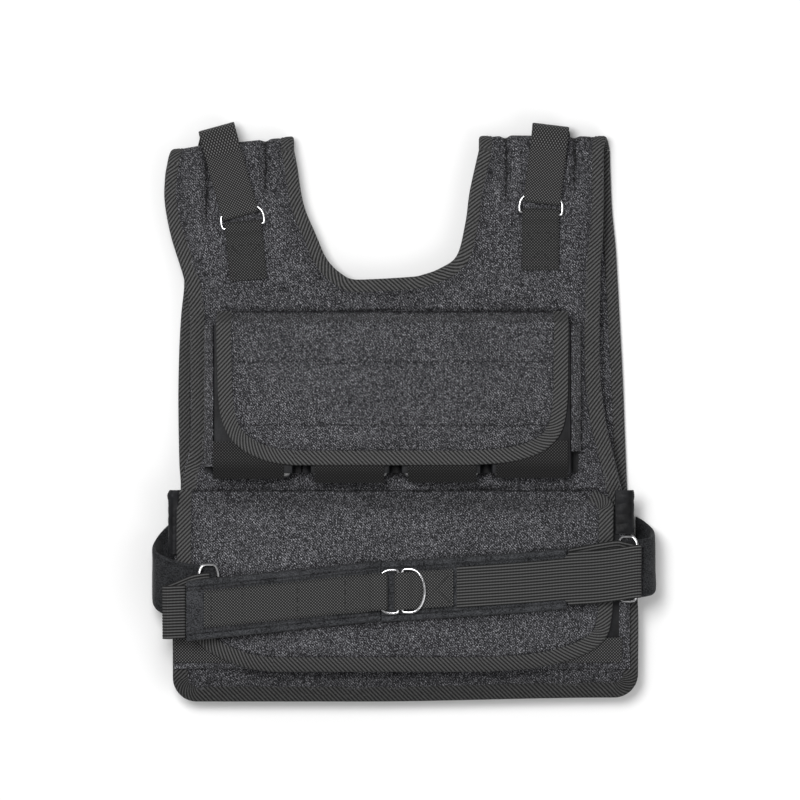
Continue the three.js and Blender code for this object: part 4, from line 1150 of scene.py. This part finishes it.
# Wings and the belt
def paddedSection(v, half, thick):
    edge = np.clip(1 - np.abs(v) / half, 0, 1)
    return 0.35 + (thick / 2 - 0.35) * quarter(edge / 0.13) * (0.82 + 0.18 * quarter(edge / 0.5))


wings = {
    "half": 29, "thick": 4,
    "left": [
        (-231.5, 152, 4), (-240, 146, 6), (-248, 137, 14), (-251.3, 129, 27), (-249, 122, 39),
        (-241, 117, 46.5), (-228, 112.5, 50.6), (-210, 109, 56), (-198, 108, 58.8), (-188.4, 107, 60.4),
    ],
    "right": [
        (231.5, 156, 4), (239, 152, 6), (246, 146, 14), (248.2, 141, 27), (247, 137, 38), (241, 135, 45),
        (232, 134, 47), (213.6, 133.5, 47.3),
    ],
}
for side in ("left", "right"):
    # the wings are darkened all over, with painted shade in a line near each edge
    piece = bandPiece(f"wing_band_{side}", curve(wings[side], 200)[::-1], wings["half"], wings["thick"],
                      beltCloth, f"wing_{side}", section=paddedSection, cross=1.0, wave=0.9, seed=121,
                      dark=lambda along, v, wide: 0.55 + 0.3 * bump(np.abs(v) - wide + 3.5, 1.6))


def ringLine(size, place):
    # a D: straight bar, short arms and an arc
    half, depth = size["bar"] / 2, size["reach"] - size["arms"]
    points = [(0, share * half) for share in (-0.86, -0.4, 0, 0.4, 0.86)]
    points += [(0.12 * size["arms"], 0.97 * half), (0.5 * size["arms"], half), (size["arms"], half)]
    turns = np.linspace(0, math.pi, 12)[1:-1]
    points += [(size["arms"] + depth * math.sin(turn), half * math.cos(turn)) for turn in turns]
    points += [(size["arms"], -half), (0.5 * size["arms"], -half), (0.12 * size["arms"], -0.97 * half)]
    return curve([place(*p) for p in points], 181, closed=True)[:-1]


def ringTube(name, line, node, body="vest"):
    centre = line.mean(axis=0)
    way = np.roll(line, -1, axis=0) - np.roll(line, 1, axis=0)
    way /= np.linalg.norm(way, axis=1, keepdims=True)
    normal = np.cross(line[0] - centre, line[45] - centre)
    normal /= np.linalg.norm(normal)
    side = np.cross(way, normal)
    turn = np.linspace(0, 2 * math.pi, 18, endpoint=False)[None, :, None]
    rings = line[:, None, :] + wire / 2 * (np.cos(turn) * side[:, None, :] + np.sin(turn) * normal)
    ringPiece(name, rings, nickel, [node], body, closed=True)


dRing = {"bar": 42.8, "arms": 8, "reach": 22}
sideRings = {
    # half the width, how round the corners are, and each ring's inner and outer end
    "half": 32, "power": 0.5,
    "left": ((-186, 106, 62.6), (-206, 106, 66.6)),
    "right": ((211.5, 133.5, 49.6), (231.5, 133.5, 56.6)),
}
for side in ("left", "right"):
    start, tip = np.array(sideRings[side], float)
    reach = np.linalg.norm(tip - start)
    turn = np.linspace(0, 2 * math.pi, 48, endpoint=False)
    u = reach / 2 * (1 + np.sign(np.cos(turn)) * np.abs(np.cos(turn)) ** sideRings["power"])
    v = sideRings["half"] * np.sign(np.sin(turn)) * np.abs(np.sin(turn)) ** sideRings["power"]
    line = curve(start + np.outer(u / reach, tip - start) + np.outer(v, (0, 1, 0)), 181, closed=True)[:-1]
    ringTube(f"side_loop_{side}", line, f"side_ring_{side}")

belt = {
    "half": 30, "thick": 5, "elasticTurn": wire / 2 + 0.3 + 1.0, "strapTurn": wire / 2 + 0.3 + 0.9,
    "left": [
        (-217.5, 92, 73), (-203, 94, 74.2), (-186, 95.5, 72.2), (-160, 98, 67.4), (-133.5, 100.5, 65.2),
        (-100, 104, 64.9), (-68.5, 107.5, 64.9), (-25, 112, 64.9),
    ],
    "right": [
        (-24, 111, 64.9), (34.5, 114.5, 64.9), (100, 119, 64.7), (130, 121.3, 63.8), (160, 124, 61.9),
    ],
    "edge": 6.2, "stitchIn": 9.5,
}


def boundSection(v, half, thick):
    # a soft band with a narrow tape folded round each edge
    inside = half - np.abs(v)
    body = thick / 2 - 0.35 + 0.3 * quarter(inside / half)
    bead = (thick / 2 + 0.15) * quarter(inside / 2.6)
    edge = np.where(inside < belt["edge"], bead, body)
    return edge - 0.7 * bump(inside - belt["edge"] - 0.3, 1.6) - 0.45 * bump(inside - belt["stitchIn"], 2.2)


def boundDark(along, v, half):
    # painted shade in the line beside each bound edge and at the very edge, and the dark dashes of the
    # stitching
    inside = half - np.abs(v)
    dashes = 0.85 * bump(inside - belt["stitchIn"], 1.3) * (math.sin(2 * math.pi * along / 4.3) > -0.3)
    return np.maximum(dashes, 0.75 * bump(inside - belt["edge"] - 0.3, 1.4)) + 0.5 * bump(inside, 1.5)


def ribSection(v, half, thick):
    ribs = 0.42 * np.abs(np.cos(math.pi * v / elastic["pitch"])) ** 0.8
    return (thick / 2 - 0.42 + ribs) * quarter((half - np.abs(v)) / 1.2 + 0.05)


def elasticHalf(point):
    # its edges are under the band's bound edges until it comes out of the band's end
    inBand = point[2] > 62 and point[0] > 0
    return mix(20.2, elastic["half"], ease((point[0] - 157) / 7)) if inBand else elastic["half"]


for side, wave, seed in (("left", 0.35, 131), ("right", 0.3, 132)):
    band = bandPiece(f"belt_pad_{side}", curve(belt[side], 220), belt["half"], belt["thick"], beltCloth,
                     f"belt_band_{side}", section=boundSection, cross=0.85, wave=wave, seed=seed,
                     dark=boundDark)

turn = belt["elasticTurn"]
fold = np.linspace(0, math.pi, 9)[1:-1]
elasticPaths = {
    "left": np.concatenate([
        curve([(-214, 102, 61.6), (-206, 103, 62.4), (-198.2, 104, 65 - turn)], 14)[:-1],
        halfTurn(-198.2, 104, 65, turn, -1),
        curve([(-206.5, 103, 69.8), (-214, 101, 68.8), (-228, 95, 62), (-237, 91.5, 58)], 30),
        plain(-238.5 - 2.9 * np.sin(fold), 90.5 + 0 * fold, 60.4 - 2.9 * np.cos(fold)),
        curve([(-237, 90.5, 63.4), (-228, 91, 66.4), (-219, 91.5, 70.6)], 14),
    ]),
    "right": np.concatenate([
        curve([(51, 115.8, 68.7), (100, 119, 68.5), (130, 121.3, 67.6), (160, 124, 65.7), (190, 126, 61.7),
               (211.5, 128.5, 59.2), (224.5, 130.5, 59.3)], 120),
        halfTurn(231.5, 131.5, 56.6, turn, -1)[::-1],
        curve([(224, 133, 51.4), (217, 134.5, 51.6), (210, 135.5, 53), (190, 132.5, 56.6),
               (163, 127.5, 60)], 60),
    ]),
}
for side, path in elasticPaths.items():
    bandPiece(f"ribbed_elastic_{side}", path, elasticHalf, elastic["thick"], ribbing, f"elastic_{side}",
              section=ribSection, step=3.0, cross=0.46, wave=0.2, seed=141)

# Webbing on the belt: a strap to the fixed ring, and a keeper for the ring that swings
seat = {"strap": 64.9 + 2.5 + 0.3 + 0.9}
seat["ring"] = seat["strap"] + belt["strapTurn"]
seat["high"] = seat["ring"] + belt["strapTurn"]
seat["over"] = seat["strap"] + webbing["thick"] + 0.3
leftBar, freeBar = np.array([-7.5, 111.6, seat["ring"]]), np.array([-3, 112.4, seat["ring"]])
low, high, over = seat["strap"], seat["high"], seat["over"]
strapPath = looped(
    [(-62, 108.5, low), (-40, 110, low), (-21, 111.6, low)], (-21, 111.6, seat["ring"]), -1,
    [(-32.5, 111.2, high), (-42, 109.5, over), (-64, 107.8, over), (-76, 106.6, low), (-100, 104, low),
     (-133.5, 100.5, 68.9), (-160, 98, 71.3), (-186, 95.5, 76.1), (-200, 94.3, 78)], (20, 200))
keeperPath = looped(
    [(47.5, 115.5, low), (20, 113.6, low), (-7.9, 111.8, low)], (-7.9, 111.8, seat["ring"]), 1,
    [(1.5, 112.4, high), (8, 112.8, over + 0.4), (13, 113.1, over), (47.5, 115.5, over)], (20, 50))
strapPiece("belt_webbing", strapPath, "belt_strap", wave=0.15, seed=151)
strapPiece("belt_keeper_webbing", keeperPath, "belt_keeper", wave=0.06, seed=152)
ringTube("belt_d_ring_left", ringLine(dRing, lambda u, v: leftBar + (-u, v, 0)), "belt_ring_left")
ringTube("belt_d_ring_free", ringLine(dRing, lambda u, v: freeBar + (u, v, 3 * u / dRing["reach"])),
         "belt_ring_free", body="free_ring")


def onTop(path, lift, start=0.0):
    # the height of a strap's upper layer at each x, for what is sewn on it
    upper = np.array([p for p in path if p[2] >= start])
    order = np.argsort(upper[:, 0])
    xs = upper[order]

    def place(x, v):
        return np.array([x, np.interp(x, xs[:, 0], xs[:, 1]) + v, np.interp(x, xs[:, 0], xs[:, 2]) + lift])
    return place


strapTop = onTop(strapPath[40:], webbing["thick"] / 2 + 0.12)
keeperTop = onTop(keeperPath[40:], webbing["thick"] / 2 + 0.12)
rows = [[strapTop(x, v) for x, v in line] for line in boxAndCross(-60, -31, -14.5, 14.5)]
rows += [[strapTop(x, v) for v in np.linspace(-17, 17, 24)] for x in (-161.5, -107.5, -193)]
rows += [[keeperTop(x, v) for x, v in line] for line in boxAndCross(17.5, 44.5, -14.5, 14.5)]
for path in (curve(belt["left"], 160), curve(belt["right"], 160)):
    top = onTop(path, belt["thick"] / 2 - 0.45)
    span = np.linspace(path[2, 0], path[-3, 0], 160)
    rows += [[top(x, way * (belt["half"] - belt["stitchIn"])) for x in span] for way in (-1, 1)]
stitchRows("belt_stitches", rows)
print("belt made")

# Shoulder straps: webbing over each fold, through a D-ring that a keeper holds to the panel
shoulders = {
    "left": {"bar": (-162, 476), "ring": 9, "strap": 15.5, "keeper": 5, "length": 54, "proud": 14},
    "right": {"bar": (135, 488.5), "ring": -4.4, "strap": -6.9, "keeper": 0, "length": 56.5, "proud": 9},
}
pad = {"seat": vest["top"] + 0.3 + webbing["thick"] / 2}
pad["ring"] = pad["seat"] + belt["strapTurn"]
pad["high"] = pad["ring"] + belt["strapTurn"]
pad["over"] = pad["seat"] + webbing["thick"] + 0.3


def heading(bar, lean, toFold=None):
    # turns places along a strap into places on the vest, over the fold too
    angle = math.radians(lean)
    way, side = np.array([-math.sin(angle), math.cos(angle)]), np.array([math.cos(angle), math.sin(angle)])

    def place(along, across, z):
        flat = np.array(bar) + np.multiply.outer(along, way) + np.multiply.outer(across, side)
        onVest = bend(flat[..., 0], flat[..., 1], z)
        if toFold is None:
            return onVest
        turn = np.clip((along - toFold) / vest["foldOuter"], 0, math.pi)
        radius = z - vest["foldOuter"]
        reach = np.where(along <= toFold, along, toFold + radius * np.sin(turn))
        square = np.array(bar) + np.multiply.outer(reach, way) + np.multiply.outer(across, side)
        height = np.where(along <= toFold, z, vest["foldOuter"] + radius * np.cos(turn))
        ownWay = plain(square[..., 0], square[..., 1], height)
        share = ease((along - toFold - 0.42 * foldLength) / (0.3 * foldLength))
        placed = mix(ownWay, onVest, np.asarray(share)[..., None])
        placed[..., 2] = np.maximum(placed[..., 2], 0.3)
        return placed
    return place


for side, facts in shoulders.items():
    start, proud = facts["bar"], facts["proud"]
    toFold = (float(foldLine(start[0])) - start[1]) / math.cos(math.radians(facts["strap"]))
    seatZ, overZ = pad["seat"], pad["over"]
    # over the shoulder: share of the fold, and how far the strap stands off there
    roundFold = ((0.2, 0.85 * proud), (0.4, proud), (0.6, 0.5 * proud), (0.74, 0.4))
    path = looped(
        [(38, 0, seatZ), (26, 0, seatZ), (13.5, 0, seatZ)], (13.5, 0, pad["ring"]), 1,
        [(24.5, 0, pad["high"]), (33, 0, overZ + 1), (40, 0, overZ + 0.5),
         (toFold - 6, 0, overZ + 0.3 * proud)]
        + [(toFold + share * foldLength, 0, seatZ + off) for share, off in roundFold], (14, 120))
    strapPiece(f"shoulder_webbing_{side}", path, f"shoulder_strap_{side}",
               place=heading(start, facts["strap"], toFold), seed=161)
    keeper = facts["length"]
    path = looped(
        [(keeper, 0, seatZ), (6, 0, seatZ), (-1.5, 0, seatZ)], (-1.5, 0, pad["ring"]), 1,
        [(5, 0, pad["high"]), (10, 0, overZ + 0.7), (16, 0, overZ + 0.05), (22, 0, overZ),
         (keeper, 0, overZ)], (30, 50))
    place = heading(start, facts["keeper"] + 180)
    # the keepers are darkened all over, with painted shade along their edges
    strapPiece(f"keeper_webbing_{side}", path, f"shoulder_keeper_{side}", place=place, wave=0.06, seed=162,
               dark=lambda along, v, wide: 0.32 + 0.4 * bump(np.abs(v) - wide, 2.2))
    ringPlace = heading(start, facts["ring"])
    line = ringLine(dRing, lambda u, v: ringPlace(np.float64(u), v, pad["ring"]))
    ringTube(f"shoulder_d_ring_{side}", line, f"shoulder_ring_{side}")
    top = overZ + webbing["thick"] / 2 + 0.12
    sewn = boxAndCross(19, keeper - 3, -14.5, 14.5)
    rows = [[place(np.float64(x), v, top) for x, v in line] for line in sewn]
    stitchRows(f"keeper_stitches_{side}", rows)
print("shoulder straps made")

# Floor, light and camera
studio = {
    "floor": 3.2, "floorColour": (0.86, 0.86, 0.86), "floorDrop": 0.0006, "world": 0.4,
    # place, size and power of each lamp
    "lamps": {"keyLight": ((-0.45, 0.45, 2.2), 0.9, 42), "fillLight": ((1.2, -0.9, 1.5), 1.4, 11)},
    "away": 6.0, "across": 0.8, "middle": (-0.004, 0.01264), "exposure": 0.0,
}


def floorAndLights():
    bpy.ops.mesh.primitive_plane_add(size=studio["floor"], location=(0, 0, -studio["floorDrop"]))
    floor = bpy.context.object
    floor.name = "studio_floor"
    material, tree, base = shader("paleFloor", studio["floorColour"], 0.9)
    drift = ramp(tree, grain(tree, objectPlace(tree), 3, 2), [(0.3, 0.84), (0.7, 0.88)])
    tree.links.new(drift, base.inputs["Base Color"])
    floor.data.materials.append(material)
    floor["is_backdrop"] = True
    world = bpy.data.worlds.new("studioWorld")
    world.use_nodes = True
    world.node_tree.nodes["Background"].inputs["Color"].default_value = (1, 1, 1, 1)
    world.node_tree.nodes["Background"].inputs["Strength"].default_value = studio["world"]
    bpy.context.scene.world = world
    for name, (place, size, power) in studio["lamps"].items():
        lamp = bpy.data.lights.new(name, "AREA")
        lamp.energy, lamp.size = power, size
        light = bpy.data.objects.new(name, lamp)
        bpy.context.scene.collection.objects.link(light)
        light.location = place
        aim = -light.location
        light.rotation_euler = aim.to_track_quat("-Z", "Y").to_euler()


def addCamera():
    lens = bpy.data.cameras.new("overheadCamera")
    camera = bpy.data.objects.new("overheadCamera", lens)
    bpy.context.scene.collection.objects.link(camera)
    lens.sensor_width = 36
    lens.lens = lens.sensor_width * (studio["away"] - 0.035) / studio["across"]
    camera.location = (*studio["middle"], studio["away"])
    lens.clip_start, lens.clip_end = 0.1, 30
    bpy.context.scene.camera = camera
    bpy.context.scene.view_settings.view_transform = "Standard"
    bpy.context.scene.view_settings.exposure = studio["exposure"]


floorAndLights()
addCamera()
print("studio made")

low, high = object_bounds()
{"cad": [list(cadLow), list(cadHigh)], "visual": [list(low), list(high)]}
